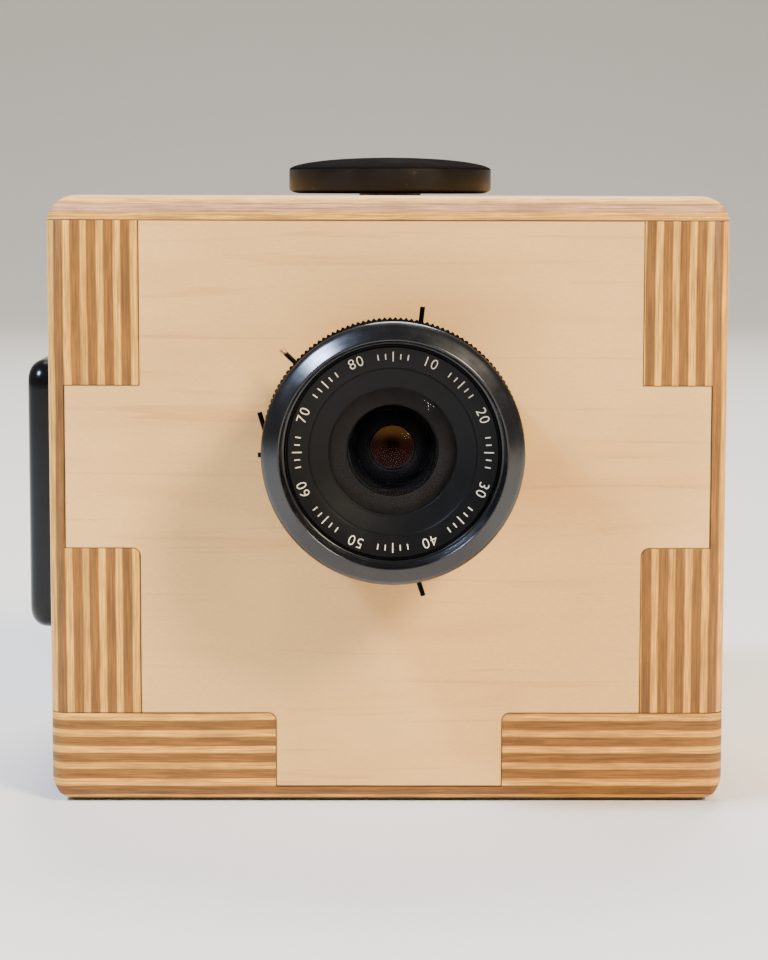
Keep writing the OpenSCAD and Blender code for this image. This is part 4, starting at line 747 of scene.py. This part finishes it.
foot = np.radians(np.linspace(0, 90, 9))
foot_path = np.stack([dial_r - FOOT_IN + FOOT_IN * np.sin(foot), DIAL_FOOT * (1 - np.cos(foot))],
                     axis=1)
rise = np.radians(np.linspace(3, 90, 48))
dome_path = np.stack([dial_r * np.cos(rise), DIAL_FOOT + DIAL_SIDE + DIAL_DOME * np.sin(rise)],
                     axis=1)
shoulder = soften([(dial_r, DIAL_FOOT), (dial_r, DIAL_FOOT + DIAL_SIDE),
                   tuple(dome_path[0])], 0.25, CORNER_STEPS)[CORNER_STEPS:2 * CORNER_STEPS]
shaft_end = DIAL_FOOT + DIAL_SIDE + DIAL_DOME - ROOF_MM
recess_path = [(0.0, shaft_end), (SHAFT_R, shaft_end), (SHAFT_R, RECESS_H),
               (RECESS_R, RECESS_H), (RECESS_R, 0.0)]
dial_path = np.concatenate([recess_path, foot_path, shoulder, dome_path])
dial_points = turned(dial_path, 256, (dial_axis[0], dial_axis[1], dial_low[2]), (2, 1))
DIMPLE_AT, DIMPLE_WAY, DIMPLE_R, DIMPLE_DEPTH = 10.5, (0.6, -0.8), 3.6, 0.55
away = np.hypot(dial_points[:, :, 0] - dial_axis[0] - DIMPLE_AT * DIMPLE_WAY[0],
                dial_points[:, :, 1] - dial_axis[1] - DIMPLE_AT * DIMPLE_WAY[1])
on_top = dial_points[:, :, 2] > dial_low[2] + DIAL_FOOT + DIAL_SIDE + 0.05
on_top[:len(recess_path)] = False
dial_points[:, :, 2] -= on_top * DIMPLE_DEPTH * np.exp(-(away / DIMPLE_R) ** 4)
dial_side = dial_material("phenolic_plastic_moulded", 0.37, 0.2)
dial_top = dial_material("phenolic_plastic_rubbed", 0.8, 0.01)
dial_bands = np.zeros(len(dial_path) - 1, dtype=np.int32)
dial_bands[-len(dome_path):] = 1
dial = surface("dial_moulded", dial_points, "dial", [dial_side, dial_top], bands=dial_bands)
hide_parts("dial_knob")
print("dial radius", round(dial_r, 2), "mm,", len(dial.data.polygons), "faces")

# %% [markdown]
# ## Battery pack
#
# The pack is a moulded black block with round polished edges, so it shows a clear blue-white line
# of light along its upper corner. Outlines that shrink toward the middle make both caps. The outer
# cap is sunk a little in a panel with an etched texture, and deeper in grooves for a thumb.

# %% Pack
pack_low, pack_high = span("battery_pack")
pack_half = (pack_high - pack_low) / 2
pack_mid = (pack_low + pack_high) / 2
PACK_EDGE, PACK_CORNER = 2.8, 4.2
gloss_black = plain_finish("polycarbonate_gloss_black", "#040405", "#070708", 6.0, 0.18, 0.05,
                           Specular_IOR_Level=0.28)


def smoothed_step(value, low, high):
    """0 below low, 1 above high, and 3t^2 - 2t^3 between them."""
    t = np.clip((value - low) / (high - low), 0, 1)
    return t * t * (3 - 2 * t)


bend = np.radians(np.linspace(0, 90, 10))
edge_rows = [(PACK_EDGE * (1 - math.sin(a)), PACK_EDGE * (1 - math.cos(a))) for a in bend]
depth = 2 * pack_half[0]
cap = np.linspace(PACK_EDGE, pack_half[2], 46)[1:]
rows = [(inset, 0.0) for inset in cap[::-1]]
rows += [(inset, rise_x) for inset, rise_x in edge_rows]
rows += [(0.0, x) for x in np.linspace(PACK_EDGE, depth - PACK_EDGE, 5)[1:-1]]
rows += [(inset, depth - rise_x) for inset, rise_x in edge_rows[::-1]]
rows += [(inset, depth) for inset in cap]
loops = stacked(pack_half[1], pack_half[2], PACK_CORNER, rows, 240)
pack_points = np.stack([pack_low[0] + loops[:, :, 2], pack_mid[1] + loops[:, :, 0],
                        pack_mid[2] + loops[:, :, 1]], axis=2)
side_y, side_z = loops[:, :, 0], loops[:, :, 1]
PANEL_IN, PANEL_DEEP = 5.0, 0.3
GRIP_PITCH, GRIP_DEEP, GRIP_HALF_Y, GRIP_HALF_Z, GRIP_DOWN = 2.4, 0.35, 6.0, 9.0, 8
from_rim = np.minimum(pack_half[1] - np.abs(side_y), pack_half[2] - np.abs(side_z))
panel = smoothed_step(from_rim, PANEL_IN, PANEL_IN + 0.5)
grips = 0.5 - 0.5 * np.cos(2 * np.pi * side_y / GRIP_PITCH)
grips *= smoothed_step(GRIP_HALF_Y - np.abs(side_y), 0, 0.6)
grips *= smoothed_step(GRIP_HALF_Z - np.abs(side_z + GRIP_DOWN), 0, 0.8)
outer_cap = loops[:, :, 2] < 0.01
pack_points[:, :, 0] += outer_cap * (PANEL_DEEP * panel + GRIP_DEEP * grips)
# The shallow panel and its grips have the fine texture of an etched mould
etched_black = plain_finish("polycarbonate_etched_black", "#0B0B0C", "#131315", 0.7, 0.62, 0.08,
                            bump=0.02, Specular_IOR_Level=0.08)
pack_bands = np.zeros(len(rows) - 1, dtype=np.int32)
pack_bands[:np.count_nonzero(cap > PANEL_IN)] = 1
pack = surface("battery_pack_moulded", pack_points, "battery", [gloss_black, etched_black],
               bands=pack_bands)
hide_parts("battery_pack")
print("pack", [round(v, 1) for v in 2 * pack_half], "mm,", len(pack.data.polygons), "faces")

# %% [markdown]
# ## Screws
#
# Each wood screw has a flat head with a cross-shaped recess and rings of thread on its shank. A
# screw is a polar surface: the profile is turned, and inside the head the surface drops where a
# point lies near one of two crossing bars.

# %% Wood screws
SHANK_R, SCREW_PITCH, COLUMNS = 1.0, 0.8, 48
BAR_SHARE, RECESS_SHARE = 0.13, 0.62


def screw_points(length, head_r, centre, axis, sign, spin):
    """Distance along the axis is a function of the radius on the head, less the recess:
    depth * smooth(bar half width - nearest bar distance) * smooth(recess radius - radius).
    The bar and the recess are shares of the head's radius, and spin turns the whole screw."""
    head_t = head_r - SHANK_R
    radii = np.linspace(0, head_r, 16)
    bar = head_r * BAR_SHARE
    angle = np.linspace(0, 2 * np.pi, COLUMNS, endpoint=False)
    x, y = radii[:, None] * np.cos(angle), radii[:, None] * np.sin(angle)
    near = np.minimum(np.abs(x), np.abs(y))
    inside = smoothed_step(bar - near, -0.12 * head_r, 0.06 * head_r)
    inside *= smoothed_step(head_r * RECESS_SHARE - radii[:, None], -0.05 * head_r, 0.1 * head_r)
    face = -inside * head_t * 0.75 * (1 - radii[:, None] / head_r * 0.5)
    thread_n = 2 * int((length - head_t - 2) / SCREW_PITCH)
    down = -head_t - 0.6 - np.arange(thread_n) * SCREW_PITCH / 2
    shank = np.where(np.arange(thread_n) % 2 == 0, SHANK_R, SHANK_R * 0.78)
    profile = np.concatenate([[(head_r, -0.06), (SHANK_R, -head_t), (SHANK_R, -head_t - 0.3)],
                              np.stack([shank, down], axis=1), [(0.0, -length)]])
    turn_angle = angle + spin
    rows_r = np.concatenate([np.repeat(radii[:, None], COLUMNS, axis=1),
                             np.repeat(profile[:, :1], COLUMNS, axis=1)])
    rows_h = np.concatenate([face, np.repeat(profile[:, 1:], COLUMNS, axis=1)])
    side = [i for i in range(3) if i != axis]
    points = np.zeros((len(rows_r), COLUMNS, 3)) + np.array(centre)
    points[:, :, side[0]] += rows_r * np.cos(turn_angle)
    points[:, :, side[1]] += rows_r * np.sin(turn_angle)
    points[:, :, axis] += sign * rows_h
    return points


left_wall, right_wall = span("battery_side_panel"), span("port_side_panel")
lid_x = ((left_wall[0][0] + left_wall[1][0]) / 2, (right_wall[0][0] + right_wall[1][0]) / 2)
board_t = span("front_panel")[1][1] - y_front
plate_back = span("lens_mount_plate")[1][1]
PORT_FIT, PORT_IN_Y, PORT_IN_Z = 0.1, 2.9, 2.3
grille_mid = middle("vent_grille")
port_mid = middle("port_plate")
port_face = span("port_plate")[1][0]
port_half = (span("port_plate")[1] - span("port_plate")[0]) / 2 + PORT_FIT
fan_mid, fan_front = middle("fan_frame"), span("fan_frame")[0][1]
PLATE_AT, GRILLE_AT, FAN_AT = 22, 12.2, 10.3
port_at_y, port_at_z = port_half[1] - PORT_IN_Y, port_half[2] - PORT_IN_Z
ENDS = (-1, 1)
CORNERS = [(a, b) for a in ENDS for b in ENDS]
# Each screw: length, head radius, place, axis number and the way that its head looks
screws = [(20, 2.9, (x, s * (y_back - board_t / 2), case_top), 2, 1) for x in lid_x for s in ENDS]
screws += [(12, 2.6, (PLATE_AT * x, plate_back, lens_z + PLATE_AT * z), 1, 1) for x, z in CORNERS]
screws += [(6, 1.6, (port_face, y * port_at_y, port_mid[2] + z * port_at_z), 0, 1)
           for y, z in CORNERS]
screws += [(7, 1.6, (grille_mid[0] + GRILLE_AT * x, y_back, grille_mid[2] + GRILLE_AT * z), 1, 1)
           for x, z in CORNERS]
screws += [(12, 1.9, (fan_mid[0] + FAN_AT * s, fan_front, fan_mid[2] + FAN_AT * s), 1, -1)
           for s in ENDS]
dice = np.random.default_rng(7)
screw_meshes = []
for length, head_r, centre, axis, sign in screws:
    part = surface("screw", screw_points(length, head_r, centre, axis, sign, dice.uniform(0, 1.5)),
                   "camera", [])
    screw_meshes.append(part.data)
    bpy.data.objects.remove(part)
screw_set = finish_piece("wood_screws_threaded", join_meshes("wood_screws_threaded", screw_meshes),
                         "camera")
screw_set.data.materials.append(bright_steel)
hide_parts("wood_screws")
print(len(screws), "screws,", len(screw_set.data.polygons), "faces")

# %% [markdown]
# ## Screen, buttons and switch
#
# The back has a screen behind black glass, a red record button, a small black button and a
# sliding switch. The glass is black around its edge and a shade lighter over the picture area.
# The button caps are turned with a dished top, and the switch is a ribbed slider.


# %% Screen glass
SCREEN_BORDER = 3.0


def screen_material(node):
    """Black glass. The picture area lies a border's width inside the edge and is a little bluer:
    it is where the distance from the middle is less than that along both sides."""
    material, tree, shader = start_material("screen_glass_black", Specular_IOR_Level=0.3)
    low, high = span(node)
    mid = (low + high) / 2
    here = add_node(tree, "SeparateXYZ", {0: place_mm(tree)})
    insides = []
    for axis in (0, 2):
        off = add_node(tree, "Math", {0: here.outputs[axis], 1: mid[axis]}, operation="SUBTRACT")
        off = add_node(tree, "Math", {0: off}, operation="ABSOLUTE")
        edge = high[axis] - mid[axis] - SCREEN_BORDER
        insides.append(add_node(tree, "MapRange", {"Value": off, "From Min": edge - 0.1,
                                                   "From Max": edge, "To Min": 1.0, "To Max": 0.0}))
    area = add_node(tree, "Math", {0: insides[0], 1: insides[1]}, operation="MULTIPLY")
    haze = add_node(tree, "TexNoise", {"Vector": place_mm(tree), "Scale": 0.08, "Detail": 3.0})
    lit = add_node(tree, "Mix", {"Factor": haze, 6: linear("#12151B"), 7: linear("#1B2028")},
                   data_type="RGBA")
    mixed = add_node(tree, "Mix", {"Factor": area, 6: linear("#030304"), 7: lit.outputs[2]},
                     data_type="RGBA")
    tree.links.new(mixed.outputs[2], shader.inputs["Base Color"])
    smear = add_node(tree, "MapRange", {"Value": haze, "From Min": 0.4, "From Max": 0.7,
                                        "To Min": 0.04, "To Max": 0.14})
    tree.links.new(smear.outputs[0], shader.inputs["Roughness"])
    return material


def block_rows(size, edge, steps=5, flats=2):
    """Insets and heights of a block with one rounded end: a square foot, a straight side and a
    quarter round at the top, then the cap drawn in to the middle."""
    round_part = np.radians(np.linspace(0, 90, steps))
    foot_rows = [(size[1] * k / flats, 0.0) for k in range(flats, 0, -1)]
    side_rows = [(0.0, 0.0)] + [(edge * (1 - math.cos(a)), size[2] - edge * (1 - math.sin(a)))
                                for a in round_part]
    cap_rows = [(edge + (size[1] - edge) * k / flats, size[2]) for k in range(1, flats + 1)]
    return foot_rows + side_rows + cap_rows


glass_low, glass_high = span("display_glass")
glass_size = (glass_high - glass_low)[[0, 2, 1]]
half_w, half_h = glass_size[0] / 2, glass_size[1] / 2
loops = stacked(half_w, half_h, 1.2, block_rows((half_w, half_h, glass_size[2]), 0.35), 160)
glass_mid = (glass_low + glass_high) / 2
screen = surface("screen_glass_plate", np.stack([glass_mid[0] + loops[:, :, 0],
                                                 glass_low[1] + loops[:, :, 2],
                                                 glass_mid[2] + loops[:, :, 1]], axis=2),
                 "camera", [screen_material("display_glass")])
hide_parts("display_glass")
print("screen glass", [round(v, 1) for v in glass_size], "mm")

# %% Record and menu buttons
button_red = plain_finish("abs_plastic_red", "#B01C22", "#9A1118", 1.2, 0.3, 0.06, IOR=1.54,
                          Subsurface_Weight=0.1)
button_black = plain_finish("abs_plastic_black", "#141416", "#1D1D20", 0.8, 0.38, 0.06, bump=0.004,
                            IOR=1.54)


CAP_H, STEM_R, CAP_ROUND, CAP_RIM = 7.8, 1.7, 0.6, 0.9


def button(name, node, body, material, dish_mm):
    """The cap's profile: an upright side, a quarter-round shoulder and a dished face whose depth
    falls with the square of the radius. The stem goes down inside."""
    low, high = span(node)
    mid = (low + high) / 2
    r = (high[0] - low[0]) / 2
    face_h = high[1] - low[1]
    turn_part = np.radians(np.linspace(0, 90, 7))
    inner = np.linspace(r - CAP_RIM, 0, 14)
    path = np.concatenate([
        [(0.0, 0.0), (STEM_R, 0.0), (STEM_R, face_h - CAP_H), (r, face_h - CAP_H)],
        np.stack([r - CAP_ROUND * (1 - np.cos(turn_part)),
                  face_h - CAP_ROUND * (1 - np.sin(turn_part))], axis=1),
        np.stack([inner, face_h - dish_mm * (1 - (inner / (r - CAP_RIM)) ** 2)], axis=1)])
    made = surface(name, turned(path, 96, (mid[0], low[1], mid[2]), LENS_AXIS), body, [material])
    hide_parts(node)
    return made


record = button("record_button_cap", "record_button", "record_button", button_red,
                0.5)
menu = button("menu_button_cap", "menu_button", "menu_button", button_black,
              0.25)
print("buttons", record.name, menu.name)

# %% Power switch
switch_low, switch_high = span("power_switch")
switch_mid = (switch_low + switch_high) / 2
switch_size = (switch_high - switch_low)[[0, 2, 1]]
SWITCH_FOOT, RIB_DEEP, RIB_PITCH, RIB_HALF = 1.2, 0.35, 0.9, 1.4
switch_size[2] -= SWITCH_FOOT
switch_rows = block_rows((switch_size[0] / 2, switch_size[1] / 2, switch_size[2]), 0.3, 5, 12)
loops = stacked(switch_size[0] / 2, switch_size[1] / 2, 0.5, switch_rows, 200)
ribs = RIB_DEEP * (0.5 - 0.5 * np.cos(2 * np.pi * loops[:, :, 0] / RIB_PITCH))
ribs *= loops[:, :, 2] > switch_size[2] - 0.01
ribs *= smoothed_step(RIB_HALF - np.abs(loops[:, :, 1]), 0, 0.3)
slider_points = np.stack([switch_mid[0] + loops[:, :, 0],
                          switch_low[1] + SWITCH_FOOT + loops[:, :, 2] - ribs,
                          switch_mid[2] + loops[:, :, 1]], axis=2)
slider = surface("power_switch_slider", slider_points, "power_switch", [button_black])
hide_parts("power_switch")
print("switch", [round(v, 2) for v in switch_size], "mm")

# %% ON and OFF beside the switch
scorched = plain_finish("scorched_birch", "#24140A", "#150B06", 0.3, 0.6)
WORD_UP, WORD_MM, THICKER = 5.4, 1.9, 0.02
WORD_ASIDE = {"ON": 5.2, "OFF": -2.2}


def mark_on_back(text, x_mm, z_mm, height_mm):
    """A word on the back board: seen from behind, +X is at the left, so across is turned round."""
    mesh = word_mesh(text, height_mm, THICKER)
    co = np.zeros(len(mesh.vertices) * 3)
    mesh.vertices.foreach_get("co", co)
    x, y, z = co.reshape(-1, 3).T
    out = np.stack([x_mm - x, y_back + z, z_mm + y], axis=1) * MM
    mesh.vertices.foreach_set("co", out.ravel())
    return mesh


words = [mark_on_back(text, switch_mid[0] + aside, switch_mid[2] + WORD_UP, WORD_MM)
         for text, aside in WORD_ASIDE.items()]
switch_words = finish_piece("switch_words", join_meshes("switch_words", words), "camera")
switch_words.data.materials.append(scorched)
print("switch words placed")

# %% [markdown]
# ## Finishes of the other parts
#
# Each part left from the CAD model gets a material of its own kind. Circuit boards have a green
# lacquer over copper tracks, so the joints of a brick pattern draw the tracks. Moulded
# sockets, black paint, spring steel and cable film are mixes of two near colours with a fine
# grain, scaled from real sizes.


# %% Circuit board
def circuit_board(name):
    """Green lacquer, with tracks where a brick pattern's joints run, about 0.1 mm wide."""
    material, tree, shader = start_material(name, Roughness=0.35, Coat_Weight=0.4,
                                            Coat_Roughness=0.2)
    here = place_mm(tree)
    axes = add_node(tree, "SeparateXYZ", {0: here})
    across = add_node(tree, "Math", {0: axes.outputs[0], 1: axes.outputs[1]}, operation="ADD")
    flat = add_node(tree, "CombineXYZ", {0: across, 1: axes.outputs[2]})
    tracks = add_node(tree, "TexBrick", {"Vector": flat, "Color1": linear("#15532F"),
                                         "Color2": linear("#1A5E37"), "Mortar": linear("#2F8050"),
                                         "Scale": 0.55, "Mortar Size": 0.035})
    haze = add_node(tree, "TexNoise", {"Vector": here, "Scale": 0.8})
    mixed = add_node(tree, "Mix", {"Factor": haze, 6: tracks, 7: linear("#0F4527")},
                     data_type="RGBA")
    tree.links.new(mixed.outputs[2], shader.inputs["Base Color"])
    return material


board_green = circuit_board("circuit_board_lacquer")
chip_epoxy = plain_finish("chip_epoxy", "#19191B", "#242427", 0.15, 0.55, 0.1, bump=0.003)
socket_plastic = plain_finish("nylon_black", "#131315", "#1C1C1F", 0.5, 0.45, 0.08, bump=0.004)
powder_coat = plain_finish("powder_coat_black", "#18191B", "#232427", 0.25, 0.5, 0.08, bump=0.02)
cable_film = plain_finish("polyimide_film", "#B9772F", "#C98A3C", 2.0, 0.25, 0.06)
gold_plate = plain_finish("gold_plated_brass", "#D8B25A", "#C79A3F", 0.5, 0.22, 0.05, 1.0)
extruded_aluminium = plain_finish("aluminium_extruded", "#A7ABB0", "#8E9298", 0.3, 0.38, 0.08, 1.0)
sensor_die = plain_finish("sensor_package_ceramic", "#2C2438", "#3A3048", 1.5, 0.22, 0.06)
infrared_glass = coated_glass("infrared_filter_glass", "#BFE6DE", "#A9D8D2", 1.52, "#B0564C")
print("finishes for the inner parts made")


# %% Lock pins with painted highlights on their tips
TIP_MM, PALE_SIDE_MM = (22.3, 22.9), (-12.0, -10.0)
DARK_PIN_UP, DARK_PIN_HALF = 6.5, (2.5, 3.5)


def pin_finish():
    """Blackened steel with painted highlights. A tip is painted pale, as the glint on polished
    metal, where three shares multiply to one: it is further from the lens axis than the tips'
    start, at the battery's side, and away from the dark pin's height."""
    material, tree, shader = start_material("blackened_steel_painted_tip_highlights", Metallic=1.0)
    here = add_node(tree, "SeparateXYZ", {0: place_mm(tree)})
    height = add_node(tree, "Math", {0: here.outputs[2], 1: lens_z}, operation="SUBTRACT")
    flat = add_node(tree, "CombineXYZ", {0: here.outputs[0], 1: height})
    away = add_node(tree, "VectorMath", {0: flat}, operation="LENGTH")
    far = ramp(tree, away.outputs["Value"], *TIP_MM, 0.0, 1.0)
    side = ramp(tree, here.outputs[0], *PALE_SIDE_MM, 1.0, 0.0)
    level = add_node(tree, "Math", {0: add_node(tree, "Math", {0: height, 1: DARK_PIN_UP},
                                                operation="SUBTRACT")}, operation="ABSOLUTE")
    tip = times(tree, far, side, ramp(tree, level, *DARK_PIN_HALF, 0.0, 1.0))
    # Painted highlight: the pale colour stands for the glint on the pins' tips
    mixed = add_node(tree, "Mix", {"Factor": tip, 6: linear("#0C0C0D"), 7: linear("#A07A50")},
                     data_type="RGBA")
    tree.links.new(mixed.outputs[2], shader.inputs["Base Color"])
    wear = add_node(tree, "TexNoise", {"Vector": place_mm(tree), "Scale": 2.0})
    rough = add_node(tree, "MapRange", {"Value": wear, "To Min": 0.3, "To Max": 0.5})
    tree.links.new(rough.outputs[0], shader.inputs["Roughness"])
    return material


pins_painted_tip_highlights = pin_finish()
print("pins finished")

# %% Give every remaining part its finish
finishes = {
    "tripod_insert": brass, "lens_mount_plate": clear_aluminium, "c_mount_ring": brass,
    "lens_barrel": knurled_black, "focus_ring": knurled_black, "focus_ring_pins": pins_painted_tip_highlights,
    "aperture_ring": knurled_black, "aperture_ring_pins": pins_painted_tip_highlights, "inner_tube": deep_black,
    "rear_cell": deep_black, "rear_elements": rear_glass_painted_ghost, "iris_drive_ring": dark_steel,
    "iris_base": dark_steel, "sensor_chamber": socket_plastic, "ir_filter": infrared_glass,
    "image_sensor": sensor_die, "sensor_board": board_green, "board_standoffs": brass,
    "board_fasteners": bright_steel, "main_board": board_green, "board_chips": chip_epoxy,
    "heatsink": extruded_aluminium, "inner_cables": cable_film, "fan_frame": socket_plastic,
    "fan_rotor": socket_plastic, "vent_grille": powder_coat, "display_module": powder_coat,
    "button_board": board_green, "port_plate": clear_aluminium, "io_board": board_green,
    "video_socket": bright_steel, "audio_socket": socket_plastic, "power_socket": socket_plastic,
    "card_socket": bright_steel, "memory_card": button_black, "battery_contacts": gold_plate,
    "encoder_shaft": bright_steel, "encoder_body": bright_steel,
}
finishes.update({f"iris_blade_{k}": dark_steel for k in range(1, 7)})
for node, material in finishes.items():
    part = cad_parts[node]
    part.data.materials.clear()
    part.data.materials.append(material)
FINE_EASED_MM, FINE_ANGLE = 0.08, 50
for node in ("vent_grille", "port_plate", "memory_card", "video_socket", "lens_barrel"):
    ease_edges(node, FINE_EASED_MM, 2, FINE_ANGLE)
left = [name for name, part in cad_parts.items()
        if not part.hide_render and name not in finishes and name not in wood]
print(len(finishes) + len(wood), "CAD parts finished, left without:", left)

# %% [markdown]
# ## Studio
#
# A pale sheet runs along the floor and bends up far behind the object, so no horizon shows. The
# main light stands at the upper right in front and throws the lens's shadow down to the left, a
# cooler one at the upper left draws the glow on the bezel, a wide one above and behind lights the
# sheet and the lid, and a dim pale sky fills the rest.

# %% Pale sweep
sweep_white = plain_finish("paper_sweep_pale", "#EFEAE0", "#ECE7DC", 40.0, 0.8)
FAR_MM, BEND_MM, TALL_MM, WIDE_MM, NEAR_MM, BELOW_MM = 1600.0, 700.0, 2600.0, 4000.0, 3000.0, 0.02
arc = np.radians(np.linspace(0, 90, 24))
sweep_y = np.concatenate([[-NEAR_MM], FAR_MM + BEND_MM * np.sin(arc), [FAR_MM + BEND_MM]])
sweep_z = np.concatenate([[0.0], BEND_MM * (1 - np.cos(arc)), [TALL_MM]])
sweep_x = np.array([-WIDE_MM, WIDE_MM])
grid = np.zeros((len(sweep_y), 2, 3))
grid[:, :, 0] = sweep_x
grid[:, :, 1] = sweep_y[:, None]
grid[:, :, 2] = sweep_z[:, None] - BELOW_MM
index = np.arange(grid.shape[0] * 2).reshape(-1, 2)
faces = np.stack([index[:-1, 0], index[:-1, 1], index[1:, 1], index[1:, 0]], axis=1)
sweep_mesh = bpy.data.meshes.new("pale_sweep")
sweep_mesh.from_pydata((grid.reshape(-1, 3) * MM).tolist(), [], faces.tolist())
sweep_mesh.materials.append(sweep_white)
sweep_mesh.shade_smooth()
sweep = bpy.data.objects.new("pale_sweep", sweep_mesh)
bpy.context.scene.collection.objects.link(sweep)
print("sweep of", len(sweep_mesh.polygons), "strips")


# %% Lights
def soft_light(name, place_m, aim_m, size_m, watts, colour):
    """A square area light that looks from its place at its aim."""
    data = bpy.data.lights.new(name, "AREA")
    data.size = size_m
    data.energy = watts
    data.color = linear(colour)[:3]
    light = bpy.data.objects.new(name, data)
    bpy.context.scene.collection.objects.link(light)
    back = np.array(place_m) - np.array(aim_m)
    back = back / np.linalg.norm(back)
    side = np.cross([0, 0, 1], back)
    side = side / np.linalg.norm(side)
    axes = np.stack([side, np.cross(back, side), back], axis=1)
    light.matrix_world = Matrix.Translation(place_m) @ Matrix([[*row] for row in axes]).to_4x4()
    return light


AIM = (0.0, -0.02, 0.05)
soft_light("key_upper_right", (0.62, -0.72, 0.72), AIM, 0.30, 23.0, "#FFEED4")
soft_light("cool_upper_left", (-0.56, -0.37, 0.73), AIM, 0.16, 17.0, "#C6DAFF")
soft_light("overhead_back", (0.1, 0.9, 1.3), AIM, 0.7, 28.0, "#FFFFFF")
world = bpy.data.worlds.new("pale_sky")
world.use_nodes = True
world.node_tree.nodes["Background"].inputs["Color"].default_value = linear("#F4F2EC")
world.node_tree.nodes["Background"].inputs["Strength"].default_value = 0.30
bpy.context.scene.world = world
print("three soft lights and a pale sky")
